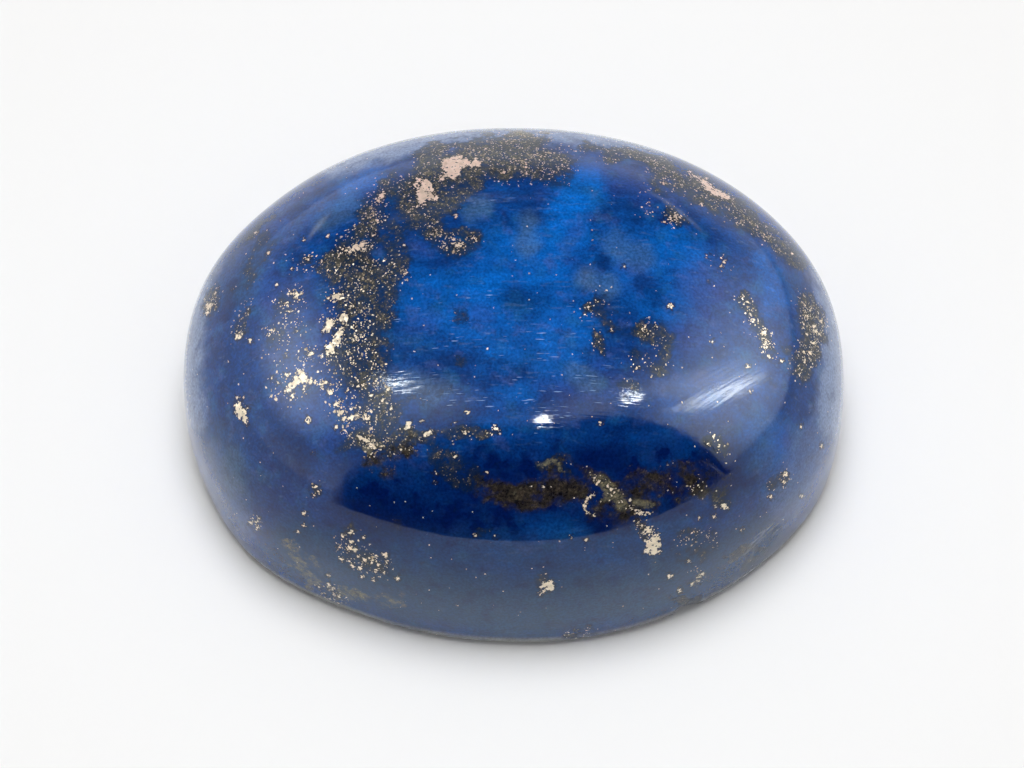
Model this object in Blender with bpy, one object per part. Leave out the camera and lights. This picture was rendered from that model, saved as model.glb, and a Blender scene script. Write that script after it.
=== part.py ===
"""Polished oval lapis lazuli cabochon: one natural stone, domed on top and flat underneath.

The stone lies along X, its narrow way along Y, and its flat base on Z = 0.
A square grid is pressed into a round domed blank, whose rim is drawn down for the side
wall. Each point of the blank is then carried out to the oval, which is slightly uneven,
as a hand-held stone is on the wheel.
"""

import math

import bmesh
import bpy
import numpy as np
from mathutils import Vector

MM = 0.001

# Driving dimensions of the stone
LENGTH = 20.0 * MM
WIDTH = 15.6 * MM
HEIGHT = 8.9 * MM

# Side wall: widest a little above the base, drawn in below, with a small bevel under it
WIDEST_HEIGHT = 2.0 * MM
WALL_DRAW_IN = 0.018
BEVEL_HEIGHT = 0.30 * MM
BEVEL_REACH = 0.42 * MM

# Roundness of the forms, as superellipse powers: 2 is a true ellipse
DOME_POWER = 2.45
GIRDLE_POWER = 2.07
CROWN_POWER = 2.13

# Facets of the solid: squares along each side of the dome's grid, and rings down the wall
GRID_SQUARES = 40
WALL_RINGS = 5

# Points taken along the dome's curve to measure its length
PROFILE_SAMPLES = 400

# Hand-cut unevenness of the outline: where round the stone, in degrees, and how far it swells
SWELL_SPAN = 14.0
SWELLS = {
    20: 0.09 * MM,
    140: -0.05 * MM,
    160: 0.08 * MM,
    200: -0.07 * MM,
    220: 0.08 * MM,
    240: -0.09 * MM,
    280: 0.06 * MM,
    320: -0.05 * MM,
    340: 0.05 * MM,
}

# Small damage: where round the stone, how high, how wide its half-width is and how deep
DAMAGE = {
    "edge chip": {"turn": 301.0, "height": 0.15 * MM, "reach": 0.55 * MM, "depth": 0.16 * MM},
    "fissured patch": {"turn": 318.0, "height": 2.1 * MM, "reach": 0.75 * MM, "depth": 0.05 * MM},
    "side nick": {"turn": 188.0, "height": 0.9 * MM, "reach": 0.40 * MM, "depth": 0.05 * MM},
}

# Polished ultramarine body colour
STONE_NAME = "lapis_cabochon"
STONE_COLOUR = (0.012, 0.050, 0.270, 1.0)
STONE_ROUGHNESS = 0.08
STONE_METALLIC = 0.0


def clear_scene():
    """Removes whatever objects the file holds."""
    for thing in list(bpy.data.objects):
        bpy.data.objects.remove(thing, do_unlink=True)


def wall_fraction(height):
    """Radial share of the wall below its widest level, 1.0 at that level."""
    drop = (WIDEST_HEIGHT - height) / WIDEST_HEIGHT
    return 1.0 - WALL_DRAW_IN * drop * drop


def dome_point(travel):
    """Radial share and height at a share of the way from the crown down to the wall."""
    sweep = np.linspace(math.pi / 2.0, 0.0, PROFILE_SAMPLES)
    shares = np.abs(np.cos(sweep)) ** (2.0 / DOME_POWER)
    shares[0] = 0.0
    rises = (HEIGHT - WIDEST_HEIGHT) * np.sin(sweep) ** (2.0 / DOME_POWER)
    run = np.hypot(np.diff(shares) * LENGTH / 2.0, np.diff(rises))
    path = np.concatenate([[0.0], np.cumsum(run)])
    path /= path[-1]
    share = float(np.interp(travel, path, shares))
    rise = float(np.interp(travel, path, rises))
    return share, WIDEST_HEIGHT + rise


def swell(turn):
    """How far the uneven outline stands out from the true oval at this turn, in metres."""
    total = 0.0
    for place, amount in SWELLS.items():
        away = (turn - place + 180.0) % 360.0 - 180.0
        total += amount * math.exp(-((away / SWELL_SPAN) ** 2))
    return total


def outline_reach(turn, height):
    """Distance from the axis to the oval outline, for a turn in degrees, at a height."""
    climb = max(0.0, (height - WIDEST_HEIGHT) / (HEIGHT - WIDEST_HEIGHT))
    power = GIRDLE_POWER + (CROWN_POWER - GIRDLE_POWER) * climb
    along = abs(math.cos(math.radians(turn)))
    across = abs(math.sin(math.radians(turn)))
    oval = (along**power + across**power) ** (-1.0 / power)
    x = LENGTH / 2.0 * oval * along
    y = WIDTH / 2.0 * oval * across
    return math.hypot(x, y)


def outline_point(share, turn, height):
    """Point of the stone for a radial share, a turn in degrees and a height."""
    angle = math.radians(turn)
    flat = Vector((LENGTH * math.cos(angle), WIDTH * math.sin(angle), 0.0)).normalized()
    reach = share * (outline_reach(turn, height) + swell(turn))
    return Vector((flat.x * reach, flat.y * reach, height))


def worn_inward(point):
    """The point moved in towards the axis where a chip or a fissure has taken stone away."""
    inward = Vector((-point.x, -point.y, 0.0))
    for mark in DAMAGE.values():
        centre = outline_point(wall_fraction(mark["height"]), mark["turn"], mark["height"])
        away = (point - centre).length / mark["reach"]
        if away < 1.0:
            bite = mark["depth"] * (1.0 - away * away) ** 2
            point = point + inward.normalized() * bite
    return point


def press_dome(mesh):
    """Presses a square grid of side 2 into a round dome whose rim has radius 1."""
    bmesh.ops.create_grid(mesh, x_segments=GRID_SQUARES, y_segments=GRID_SQUARES, size=1.0)
    for vert in mesh.verts:
        across = vert.co.x * math.sqrt(1.0 - vert.co.y**2 / 2.0)
        away = vert.co.y * math.sqrt(1.0 - vert.co.x**2 / 2.0)
        travel = math.hypot(across, away)
        share, height = dome_point(travel)
        stretch = share / travel if travel > 0.0 else 0.0
        vert.co = Vector((across * stretch, away * stretch, height))


def draw_down_wall(mesh):
    """Draws the dome's rim down, ring by ring, to the base edge, and closes the flat base."""
    rings = [
        (wall_fraction(height), height)
        for height in np.linspace(WIDEST_HEIGHT, BEVEL_HEIGHT, WALL_RINGS + 1)[1:]
    ]
    rings.append((rings[-1][0] - BEVEL_REACH / (LENGTH / 2.0), 0.0))
    rim = [edge for edge in mesh.edges if edge.is_boundary]
    for share, height in rings:
        drawn = bmesh.ops.extrude_edge_only(mesh, edges=rim)["geom"]
        rim = [item for item in drawn if isinstance(item, bmesh.types.BMEdge) and item.is_boundary]
        for vert in {vert for edge in rim for vert in edge.verts}:
            turned = Vector((vert.co.x, vert.co.y, 0.0)).normalized() * share
            vert.co = Vector((turned.x, turned.y, height))
    bmesh.ops.contextual_create(mesh, geom=rim)
    bmesh.ops.recalc_face_normals(mesh, faces=mesh.faces)


def shape_stone(mesh):
    """Carries each point of the round blank out to the uneven oval."""
    for vert in mesh.verts:
        share = math.hypot(vert.co.x, vert.co.y)
        turn = math.degrees(math.atan2(vert.co.y, vert.co.x)) % 360.0
        point = outline_point(share, turn, vert.co.z)
        vert.co = worn_inward(point)


def polished_stone():
    """Material of the polished stone."""
    finish = bpy.data.materials.new("polished_lapis")
    finish.use_nodes = True
    shader = finish.node_tree.nodes["Principled BSDF"]
    shader.inputs["Base Color"].default_value = STONE_COLOUR
    shader.inputs["Roughness"].default_value = STONE_ROUGHNESS
    shader.inputs["Metallic"].default_value = STONE_METALLIC
    finish.diffuse_color = STONE_COLOUR
    return finish


def build_cabochon():
    """Builds the stone as one closed solid, shaded smooth above its base edge."""
    mesh = bmesh.new()
    press_dome(mesh)
    draw_down_wall(mesh)
    shape_stone(mesh)
    data = bpy.data.meshes.new(STONE_NAME)
    mesh.to_mesh(data)
    mesh.free()
    data.shade_smooth()
    data.set_sharp_from_angle(angle=math.radians(30.0))
    data.materials.append(polished_stone())
    stone = bpy.data.objects.new(STONE_NAME, data)
    bpy.context.scene.collection.objects.link(stone)
    return stone


def main():
    """Clears the scene and builds the cabochon."""
    clear_scene()
    build_cabochon()


if __name__ == "__main__":
    main()
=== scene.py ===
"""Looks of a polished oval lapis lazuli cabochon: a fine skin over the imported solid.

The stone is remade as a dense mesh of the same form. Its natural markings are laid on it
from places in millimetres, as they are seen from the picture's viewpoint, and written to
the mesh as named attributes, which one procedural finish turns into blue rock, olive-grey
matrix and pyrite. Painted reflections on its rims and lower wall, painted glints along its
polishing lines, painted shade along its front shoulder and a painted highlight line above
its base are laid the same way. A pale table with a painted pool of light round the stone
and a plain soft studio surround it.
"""

import logging
import math
from dataclasses import dataclass, field
from enum import Enum

import bpy
import numpy as np
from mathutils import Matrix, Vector, noise


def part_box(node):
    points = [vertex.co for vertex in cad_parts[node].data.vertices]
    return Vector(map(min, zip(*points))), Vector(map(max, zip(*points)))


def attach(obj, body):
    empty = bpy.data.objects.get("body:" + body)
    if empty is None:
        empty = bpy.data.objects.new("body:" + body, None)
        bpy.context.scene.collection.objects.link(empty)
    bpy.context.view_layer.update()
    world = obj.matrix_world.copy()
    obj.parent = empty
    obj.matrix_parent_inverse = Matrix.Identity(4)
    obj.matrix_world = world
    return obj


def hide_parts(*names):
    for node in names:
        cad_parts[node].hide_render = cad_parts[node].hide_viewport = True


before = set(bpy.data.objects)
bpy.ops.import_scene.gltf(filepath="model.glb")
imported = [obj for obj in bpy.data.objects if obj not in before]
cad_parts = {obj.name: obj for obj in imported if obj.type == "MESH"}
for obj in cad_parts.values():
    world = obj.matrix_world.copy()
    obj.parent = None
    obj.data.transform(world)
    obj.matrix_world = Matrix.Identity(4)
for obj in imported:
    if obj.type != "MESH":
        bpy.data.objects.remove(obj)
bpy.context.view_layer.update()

MM = 0.001
TINY = 1e-6
STONE_LENGTH = 20.0 * MM
STONE_WIDTH = 15.6 * MM
STONE_NODE = "lapis_cabochon"
STONE_BODY = "root"

log = logging.getLogger("cabochon")


class Mineral(Enum):
    """What a marking adds to the blue rock, painted reflections, glints and shade among them; the
    value is its attribute's name.
    """

    MATRIX = "matrix"
    BROWN = "brown"
    KHAKI = "khaki"
    GRAIN = "grain"
    COARSE = "coarse_grain"
    AZURE = "azure"
    VIOLET = "violet"
    DEEP_BLUE_AND_SHADE = "deep_blue_and_shade"
    MILKY = "milky"
    PAINTED_RIM_REFLECTION = "painted_rim_reflection"
    SLATE_AND_REFLECTION = "slate_and_reflection"
    SCRATCH_AND_GLINT = "scratch_and_glint"
    BRUSHED = "brushed"


NUGGET_ATTRIBUTE = "nugget"

# Where a soft marking's edge ends and where it starts, in half-widths from its middle
SOFT_EDGE = (1.35, 0.35)

# Paths that both the matrix and its grains follow, in millimetres right and up of the
# point that the camera aims at, as the picture shows them
FAR_VEIN_LEFT = ((0.2, 6.69), (-0.7, 6.59), (-1.56, 6.36), (-2.28, 6.13))
FAR_VEIN_RIGHT = ((-0.4, 6.45), (0.61, 6.42), (1.35, 6.32))
FAR_RIM_RIGHT = ((2.84, 6.62), (3.65, 6.66), (4.32, 6.39))
FAR_STREAK = ((4.46, 6.18), (5.0, 5.78), (5.67, 5.44), (6.35, 5.07), (7.02, 4.7))
CROWN_HOOK = ((-3.0, 5.18), (-2.74, 4.72), (-2.34, 4.32), (-1.82, 3.93), (-1.36, 4.0))
LEFT_VEIN_TOP = ((-3.19, 5.7), (-3.78, 5.57), (-4.24, 5.24), (-4.31, 4.59))
LEFT_VEIN_BEND = ((-4.31, 4.59), (-4.64, 4.0), (-5.1, 3.6))
FRONT_THREAD = ((-3.13, -1.92), (-2.21, -1.92), (-1.36, -1.86), (-0.37, -1.76))
RIGHT_VEIN = ((6.99, 2.27), (7.23, 1.8), (7.56, 1.19), (7.7, 0.58))
RIGHT_RIM_VEIN = ((8.84, 2.13), (9.05, 1.59), (9.11, 1.05), (8.84, 0.51), (8.71, 0.04))

# Soft markings of each mineral and of the painted reflections, glints and shade: half-width
# in millimetres, strength, and the path's points, in millimetres right and up of the point
# that the camera aims at
MARKINGS = {
    Mineral.MATRIX: (
        # The broad speckled vein from the far edge, round to the left and down
        (0.7, 0.85, *FAR_VEIN_LEFT),
        (0.55, 0.75, (-1.3, 5.8), (-1.9, 5.5), (-2.2, 5.0)),
        (0.39, 0.85, (-2.21, 6.69), (-2.67, 6.55)),
        (0.6, 0.8, (-2.28, 5.96), (-2.8, 5.57), (-2.93, 5.24)),
        (0.46, 0.8, *CROWN_HOOK), (0.42, 0.6, *LEFT_VEIN_TOP), (0.5, 0.66, *LEFT_VEIN_BEND),
        (0.52, 0.85, (-5.36, 3.21), (-4.83, 3.14), (-4.18, 3.01), (-3.65, 3.21)),
        (0.95, 0.85, (-4.7, 2.62), (-4.5, 1.77), (-4.5, 1.11), (-4.7, 0.52)),
        (0.5, 0.45, (-3.46, 4.85), (-3.59, 4.26), (-3.52, 3.6)), (0.6, 0.4, (-3.6, 2.4)),
        (0.2, 0.5, (-6.41, 3.41), (-5.82, 3.31)),
        (0.8, 0.6, (-4.3, -0.15), (-4.0, -0.94), (-4.1, -1.6)),
        (0.39, 0.85, (-4.44, -2.05), (-3.78, -2.19), (-3.13, -1.99)),
        # Along the left rim and on the left of the crown
        (0.36, 0.34, (-7.46, 4.0), (-7.91, 3.14), (-8.18, 2.69)),
        (0.3, 0.3, (-8.11, 4.0), (-7.32, 4.72)), (0.22, 0.55, (-9.03, 2.42), (-9.23, 1.9)),
        (0.22, 0.5, (-8.11, 1.83), (-8.28, 1.21)),
        (0.39, 0.3, (-6.73, 2.29), (-7.0, 1.77), (-7.19, 1.11)), (0.36, 0.28, (-1.62, 1.64)),
        (0.3, 0.5, (-1.62, 0.46)),
        # Along the top of the dark reflection and below it
        (0.22, 0.7, *FRONT_THREAD), (0.39, 0.42, (-2.8, -0.61), (-2.21, -0.48)),
        (0.49, 0.6, (-2.21, -2.51), (-1.82, -2.84), (-1.29, -3.23)),
        (0.18, 0.6, (-1.1, -4.78), (-0.64, -4.84)),
        (0.39, 0.38, (-4.9, -5.14), (-4.57, -5.66), (-3.98, -5.79)), (0.24, 0.4, (-7.78, -4.42)),
        (0.22, 0.45, (-6.01, -3.56)), (0.2, 0.6, (-8.21, -1.07)),
        (0.22, 0.5, (-5.29, -2.32), (-4.83, -2.12)),
        # Along the far right rim
        (0.61, 0.9, *FAR_VEIN_RIGHT), (0.24, 0.75, *FAR_RIM_RIGHT), (0.39, 0.85, *FAR_STREAK),
        (0.2, 0.6, (0.0, 7.16), (0.95, 7.13)), (0.2, 0.45, (2.16, 6.86), (2.57, 6.86)),
        (0.3, 0.75, (7.02, 4.7), (7.56, 4.29), (8.04, 3.89), (8.57, 3.35)),
        (0.3, 0.7, (4.8, 4.77), (5.0, 4.66)), (0.23, 0.3, (4.32, 5.64), (4.59, 5.44)),
        # On the right
        (0.23, 0.66, *RIGHT_VEIN), (0.39, 0.9, *RIGHT_RIM_VEIN),
        (0.27, 0.5, (8.31, 0.78), (8.57, 0.58)), (0.32, 0.62, (2.3, 1.93), (2.77, 2.13)),
        (0.23, 0.75, (2.5, 1.02), (2.7, 0.75)), (0.32, 0.85, (3.99, 1.26), (4.32, 1.19)),
        (0.27, 0.7, (4.59, 0.99), (4.59, 0.65)), (0.37, 0.6, (3.78, 0.38), (4.46, 0.18)),
        (0.4, 0.3, (2.97, 1.59), (3.51, 1.26)), (0.34, 0.6, (3.38, -0.26), (3.58, -0.6)),
        # On the front wall
        (0.2, 0.78, (0.75, -2.72), (1.35, -2.72), (1.69, -2.96)),
        (0.4, 0.55, (5.67, -3.1), (6.08, -3.43), (6.42, -3.7)),
        (0.3, 0.4, (5.13, -4.92), (6.01, -5.05)), (0.27, 0.4, (5.0, -5.53), (5.67, -5.53)),
        (0.11, 0.9, (6.55, -5.59), (6.92, -5.32), (7.23, -5.24), (7.63, -5.36)),
        (0.09, 0.8, (6.96, -6.0), (7.09, -5.73), (7.36, -5.59)),
        (0.15, 0.8, (4.86, -6.77), (5.2, -6.94), (5.54, -6.88)), (0.34, 0.5, (0.98, -6.3)),
        (0.3, 0.5, (6.01, -2.08), (6.35, -2.29)), (0.27, 0.45, (8.24, -3.03), (7.9, -3.5)),
        (0.2, 0.45, (5.61, -6.2)), (0.27, 0.4, (6.28, -3.97)),
        (0.18, 0.5, (1.62, -7.89), (2.3, -7.69)),
    ),
    Mineral.BROWN: (
        (0.36, 0.7, (-4.24, -2.51), (-3.59, -2.45), (-3.0, -2.15)),
        (0.3, 0.55, (-4.31, -2.78), (-3.78, -2.97)), (0.46, 0.3, (-5.1, -4.55), (-3.65, -4.61)),
        (0.5, 0.75, (-0.95, -3.5), (-0.4, -3.55)), (0.35, 0.5, (-0.3, -3.7), (0.2, -3.63)),
        (0.6, 0.9, (0.2, -3.75), (0.95, -3.64), (1.5, -3.57)),
        (0.45, 0.75, (1.1, -3.2), (1.5, -2.9)), (0.3, 0.6, (1.9, -3.4), (2.1, -3.6)),
        (0.36, 0.9, (2.3, -3.0), (2.75, -3.35), (3.15, -3.75)),
        (0.6, 0.7, (3.7, -3.3), (4.73, -3.3), (5.5, -3.35)), (0.5, 0.6, (5.6, -3.3), (6.4, -3.4)),
        (0.4, 0.7, (2.43, -4.24), (3.11, -4.24), (3.65, -4.04)),
        (0.3, 0.9, (3.7, -3.85), (4.25, -4.0)), (0.22, 0.8, (3.78, -4.38), (4.05, -4.85)),
        (0.3, 0.6, (3.65, -4.38), (3.2, -4.6)), (0.3, 0.4, (4.9, -2.9), (5.9, -2.85)),
    ),
    Mineral.KHAKI: (
        (0.39, 0.7, (-6.67, -5.33), (-6.21, -5.79), (-6.01, -6.22)),
        (0.28, 0.6, (-5.23, -6.68), (-4.31, -6.84), (-3.46, -6.84)),
        (0.28, 0.9, (2.7, -3.35), (2.97, -3.7), (3.2, -3.85)),
        (0.2, 0.9, (3.65, -3.91), (4.12, -3.97)), (0.16, 0.8, (2.3, -3.0), (2.6, -3.3)),
        (0.09, 0.4, (2.5, -3.66), (2.24, -3.8), (2.13, -4.05), (2.32, -4.28), (2.55, -4.2)),
        (0.1, 0.8, (0.75, -2.7), (1.25, -2.66), (1.7, -3.0)),
        (0.15, 0.6, (0.0, 7.2), (1.08, 7.13)), (0.13, 0.6, (-4.44, -2.32), (-3.98, -2.19)),
    ),
    Mineral.GRAIN: (
        (0.62, 0.75, *FAR_VEIN_LEFT), (0.39, 0.6, (-2.21, 6.69), (-2.74, 6.55)),
        (0.49, 0.7, (-2.28, 5.96), (-2.8, 5.57), (-2.93, 5.18)),
        (0.33, 0.7, *CROWN_HOOK), (0.39, 0.7, *LEFT_VEIN_TOP), (0.46, 0.66, *LEFT_VEIN_BEND),
        (0.56, 0.62, (-5.36, 3.21), (-4.83, 3.14), (-4.18, 3.01), (-3.52, 3.21)),
        (0.79, 0.75, (-4.83, 2.62), (-4.74, 1.77), (-4.74, 1.11), (-4.83, 0.52)),
        (0.3, 0.6, (-6.54, 3.34), (-5.75, 3.34)),
        (0.52, 0.36, (-6.73, 2.29), (-6.67, 1.44), (-7.26, 0.92)),
        (0.22, 0.7, (-9.03, 2.42), (-9.23, 1.9)), (0.26, 0.6, (-8.11, 1.9), (-8.31, 1.21)),
        (0.72, 0.7, (-4.44, -0.15), (-4.31, -0.94), (-4.31, -1.73)),
        (0.39, 0.5, (-4.18, -2.25), (-3.65, -2.25), (-3.13, -1.99)), (0.22, 0.35, *FRONT_THREAD),
        (0.64, 0.85, *FAR_VEIN_RIGHT), (0.27, 0.8, *FAR_RIM_RIGHT), (0.4, 0.85, *FAR_STREAK),
        (0.27, 0.55, (0.0, 7.16), (1.15, 7.13)), (0.27, 0.5, (2.16, 6.86), (2.64, 6.86)),
        (0.3, 0.75, (7.02, 4.7), (7.56, 4.29), (8.04, 3.89)),
        (0.34, 0.5, (4.8, 4.77), (5.0, 4.66)), (0.37, 0.3, (4.32, 5.58), (3.92, 4.97)),
        (0.23, 0.7, *RIGHT_VEIN), (0.4, 1.0, *RIGHT_RIM_VEIN),
        (0.37, 0.45, (2.3, 1.93), (2.77, 2.2)), (0.4, 0.6, (3.99, 1.32), (4.46, 0.92)),
        (0.23, 0.6, (2.5, 1.02), (2.7, 0.75)), (0.37, 0.45, (3.78, 0.38), (4.46, 0.18)),
        (0.4, 0.3, (6.35, 3.35)), (0.27, 0.5, (2.37, -3.1), (2.77, -3.5), (3.38, -3.97)),
        (0.2, 0.6, (3.78, -4.38), (4.12, -4.92)), (0.3, 0.8, (5.2, -5.12), (6.01, -4.99)),
        (0.3, 0.4, (4.73, -3.3), (5.54, -3.37)), (0.27, 0.45, (5.61, -6.13)),
        (0.27, 0.4, (6.08, -2.15), (6.35, -2.35)), (0.3, 0.35, (8.24, -3.1), (7.9, -3.5)),
        (0.16, 0.7, (1.62, -7.92), (2.3, -7.75)), (0.27, 0.35, (0.98, -6.3)),
    ),
    Mineral.COARSE: (
        (0.33, 0.8, (-5.1, 3.73), (-4.57, 3.87)), (0.26, 0.7, (-2.01, 3.87), (-1.49, 4.0)),
        (0.33, 0.5, (-4.18, 4.19), (-4.31, 4.78)), (0.3, 0.7, (-3.98, 5.37), (-4.18, 5.5)),
        (0.33, 0.9, (-5.49, 2.36), (-5.23, 2.42)),
        (0.39, 0.9, (-5.49, 1.57), (-5.1, 1.11), (-5.49, 0.59)),
        (0.26, 0.5, (-6.14, 3.34), (-5.75, 3.41)), (0.33, 0.7, (-6.6, 2.36), (-6.8, 1.9)),
        (0.39, 0.5, (-6.47, 1.37), (-7.19, 1.37)), (0.26, 0.5, (-3.33, 3.01), (-3.78, 3.34)),
        (0.39, 0.8, (-6.14, 0.59), (-6.41, 0.13), (-7.0, 0.03)),
        (0.39, 0.5, (-4.51, 1.77), (-4.51, 0.78)),
        (0.36, 1.0, (-7.0, -0.61), (-6.54, -0.28), (-6.01, -0.19), (-5.55, -0.42)),
        (0.39, 1.0, (-5.29, -1.07), (-4.96, -1.4), (-4.37, -1.33)),
        (0.3, 0.9, (-4.83, -1.79), (-4.31, -2.19)), (0.33, 0.6, (-3.85, -0.74), (-4.05, -0.28)),
        (0.39, 0.9, (-5.03, -5.07), (-4.7, -5.66), (-3.98, -5.73)),
        (0.2, 0.9, (-5.88, -6.45), (-5.29, -6.74)), (0.26, 0.5, (-7.78, -4.42)),
        (0.22, 0.45, (-6.01, -3.56)), (0.4, 0.6, (0.27, 6.45), (1.35, 6.39)),
        (0.27, 0.5, (4.8, 4.7)), (0.27, 0.7, (7.16, 1.8), (7.63, 0.92)),
        (0.3, 0.9, (8.98, 1.73), (9.11, 1.19)), (0.3, 0.5, (4.12, 1.32)),
        (0.23, 0.5, (5.61, -6.2)), (0.23, 0.6, (3.78, -4.51), (4.12, -4.85)),
    ),
    Mineral.AZURE: (
        (0.74, 1.0, (1.62, 4.97), (2.16, 5.58)), (0.61, 0.8, (0.95, 3.89), (1.83, 4.16)),
        (1.01, 0.72, (0.95, 2.94), (1.62, 1.59), (1.29, 0.58)),
        (0.85, 0.65, (-0.9, 2.69), (-0.24, 3.73)), (1.2, 0.5, (3.4, 3.4), (4.8, 2.6)),
        (1.11, 0.55, (-2.54, 2.29), (-1.23, 1.77), (-0.24, 1.11)),
        (1.0, 0.5, (7.4, -2.0), (8.2, -3.4)),
        (0.61, 0.6, (4.59, 3.89), (5.4, 3.62)), (0.47, 0.6, (7.56, 3.35), (7.97, 2.13)),
        (0.61, 0.7, (4.05, -2.29), (5.0, -2.35)), (0.4, 0.5, (0.27, -4.51), (1.62, -4.65)),
        (0.72, 0.7, (-0.57, -1.2), (0.2, -0.94)), (0.79, 0.45, (-4.18, -3.56), (-2.54, -3.83)),
        (0.39, 0.6, (-5.88, 5.05), (-4.18, 6.03)), (0.61, 0.4, (2.97, -5.73), (3.78, -6.27)),
    ),
    Mineral.VIOLET: (
        (0.61, 0.7, (5.54, 2.81), (6.08, 1.86), (5.27, 1.05)),
        (0.47, 0.5, (3.38, 5.91), (3.92, 5.44)), (0.3, 0.6, (1.62, 3.89), (1.93, 4.29)),
        (0.27, 0.6, (3.38, 3.28), (3.92, 3.08)), (0.3, 0.5, (6.96, 2.47)),
        (0.39, 0.5, (-7.06, 2.82), (-7.46, 2.1)),
        (0.39, 0.5, (-8.77, 3.08), (-7.91, 4.26), (-6.41, 5.5)),
        (0.81, 0.7, (7.56, -4.24), (7.02, -4.92)), (0.54, 0.5, (8.57, -2.89), (8.71, -3.97)),
        (0.79, 0.45, (-6.8, -3.56), (-5.82, -4.09)), (0.59, 0.45, (-6.14, -1.46), (-5.62, -2.05)),
    ),
    Mineral.DEEP_BLUE_AND_SHADE: (
        (0.3, 0.7, (2.77, 3.35)), (0.34, 0.5, (3.92, 2.67), (4.32, 2.47)),
        (0.4, 0.35, (0.0, 2.4), (0.95, 2.34)), (0.33, 0.4, (-5.49, 5.5), (-6.67, 4.91)),
        (0.22, 0.5, (-8.51, 2.69), (-8.7, 1.77)), (0.33, 0.5, (-5.23, 3.6), (-4.44, 3.34)),
        (0.59, 0.5, (-6.93, -2.05), (-6.41, -2.71)),
        (0.46, 0.6, (-4.44, -4.09), (-3.19, -4.22), (-2.21, -4.48)),
        (0.59, 0.5, (-1.03, -2.64), (-0.24, -3.04)),
        (0.4, 0.7, (2.16, -2.62), (3.11, -2.56), (3.38, -2.89)),
        (0.34, 0.7, (4.46, -4.18), (5.13, -4.04)), (0.47, 0.8, (5.94, -2.89), (6.35, -3.37)),
        (0.4, 0.8, (2.57, -4.51), (3.38, -4.51)), (0.23, 0.6, (6.75, -3.03), (7.02, -3.43)),
        # Painted shade along the front shoulder, and less of it down the front wall
        (1.35, 0.8, (-4.3, -3.9), (-1.7, -3.75), (1.2, -3.35), (4.0, -2.75), (6.1, -2.75)),
        (2.2, 0.36, (-6.2, -4.1), (-3.0, -5.2), (1.0, -5.5), (5.0, -4.9), (7.0, -4.4)),
        (0.5, 0.4, (-2.6, -1.4), (0.0, -1.3), (2.4, -1.1)),
    ),
    Mineral.PAINTED_RIM_REFLECTION: (
        # Painted reflection: pale haze along the left, right and far rims, and less of it low on
        # the sides
        (0.5, 0.9, (-9.3, 3.6), (-9.75, 1.8), (-9.85, 0.0), (-9.7, -1.4)),
        (0.6, 1.0, (9.5, 3.4), (9.85, 1.8), (9.85, 0.2), (9.7, -1.4)),
        (0.4, 0.9, (-5.5, 6.3), (-2.5, 7.2), (0.5, 7.45), (4.5, 7.0)),
        (0.7, 0.3, (9.0, -2.2), (8.3, -4.0)), (0.6, 0.25, (-9.2, -2.6), (-8.2, -4.6)),
    ),
    Mineral.MILKY: (
        (0.5, 0.2, (7.6, -1.6), (7.4, -2.6)), (0.5, 0.15, (8.4, -3.4), (7.8, -4.4)),
        (0.4, 0.4, (0.48, 4.56), (0.41, 3.89)), (0.4, 0.4, (2.84, 2.54), (2.16, 2.94)),
        (0.23, 0.6, (7.36, -5.66), (7.56, -5.53)), (0.18, 0.6, (4.19, -5.59), (4.26, -5.93)),
        (0.3, 0.4, (-0.9, 5.05), (-1.36, 4.91)), (0.39, 0.35, (-8.51, -2.64), (-8.37, -3.3)),
        (0.35, 0.35, (1.8, 0.0), (2.5, -0.3)), (0.5, 0.3, (3.1, 3.9), (3.9, 3.4)),
        (0.5, 0.3, (-3.2, -0.3), (-2.2, -0.5)), (0.4, 0.3, (-5.7, 4.6), (-4.9, 5.1)),
    ),
    Mineral.SLATE_AND_REFLECTION: (
        # Painted reflection of the pale table: a grey-blue veil on the lower front wall and on the
        # sides
        (1.0, 0.75, (-6.6, -5.2), (-4.6, -6.3), (0.0, -7.3), (4.6, -6.5), (7.4, -5.1)),
        (1.6, 0.35, (-3.6, -5.4), (0.5, -6.2), (4.5, -5.4)), (0.8, 0.2, (7.4, -3.0), (8.6, -3.6)),
        (0.7, 0.35, (-8.9, -2.0), (-8.3, -3.6)), (0.6, 0.3, (-8.6, 2.6), (-8.0, 3.6)),
    ),
    Mineral.SCRATCH_AND_GLINT: (
        # Polishing lines, painted as pale glints, and the wider zones where faint dashes lie
        (0.09, 0.9, (-1.43, 2.41), (-0.64, 2.38)), (0.09, 0.9, (1.11, 2.1), (1.87, 2.13)),
        (0.09, 0.9, (-2.61, 2.29), (-2.31, 2.26)), (0.09, 0.9, (-3.73, 1.59), (-3.43, 1.56)),
        (0.09, 0.9, (0.5, 1.2), (0.93, 1.2)), (0.09, 0.9, (0.75, 0.53), (1.29, 0.5)),
        (0.09, 0.9, (1.9, 0.35), (2.32, 0.29)), (0.09, 0.9, (3.23, -0.04), (3.65, -0.07)),
        (1.6, 0.4, (-1.8, 1.4), (1.8, 1.0)), (0.7, 0.62, (-3.6, -0.2), (-1.0, -0.7), (3.4, -0.6)),
        (0.5, 0.6, (0.6, -1.3), (1.6, -1.4)), (0.3, 0.6, (-1.0, 5.2), (0.0, 5.4)),
    ),
    Mineral.BRUSHED: (
        (0.8, 0.9, (5.6, -1.1), (6.4, -0.5), (7.6, 0.3)), (1.0, 0.6, (7.0, 0.6), (8.0, 1.6)),
        (0.6, 0.5, (4.8, 0.4), (5.8, -0.2)),
    ),
}

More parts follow.
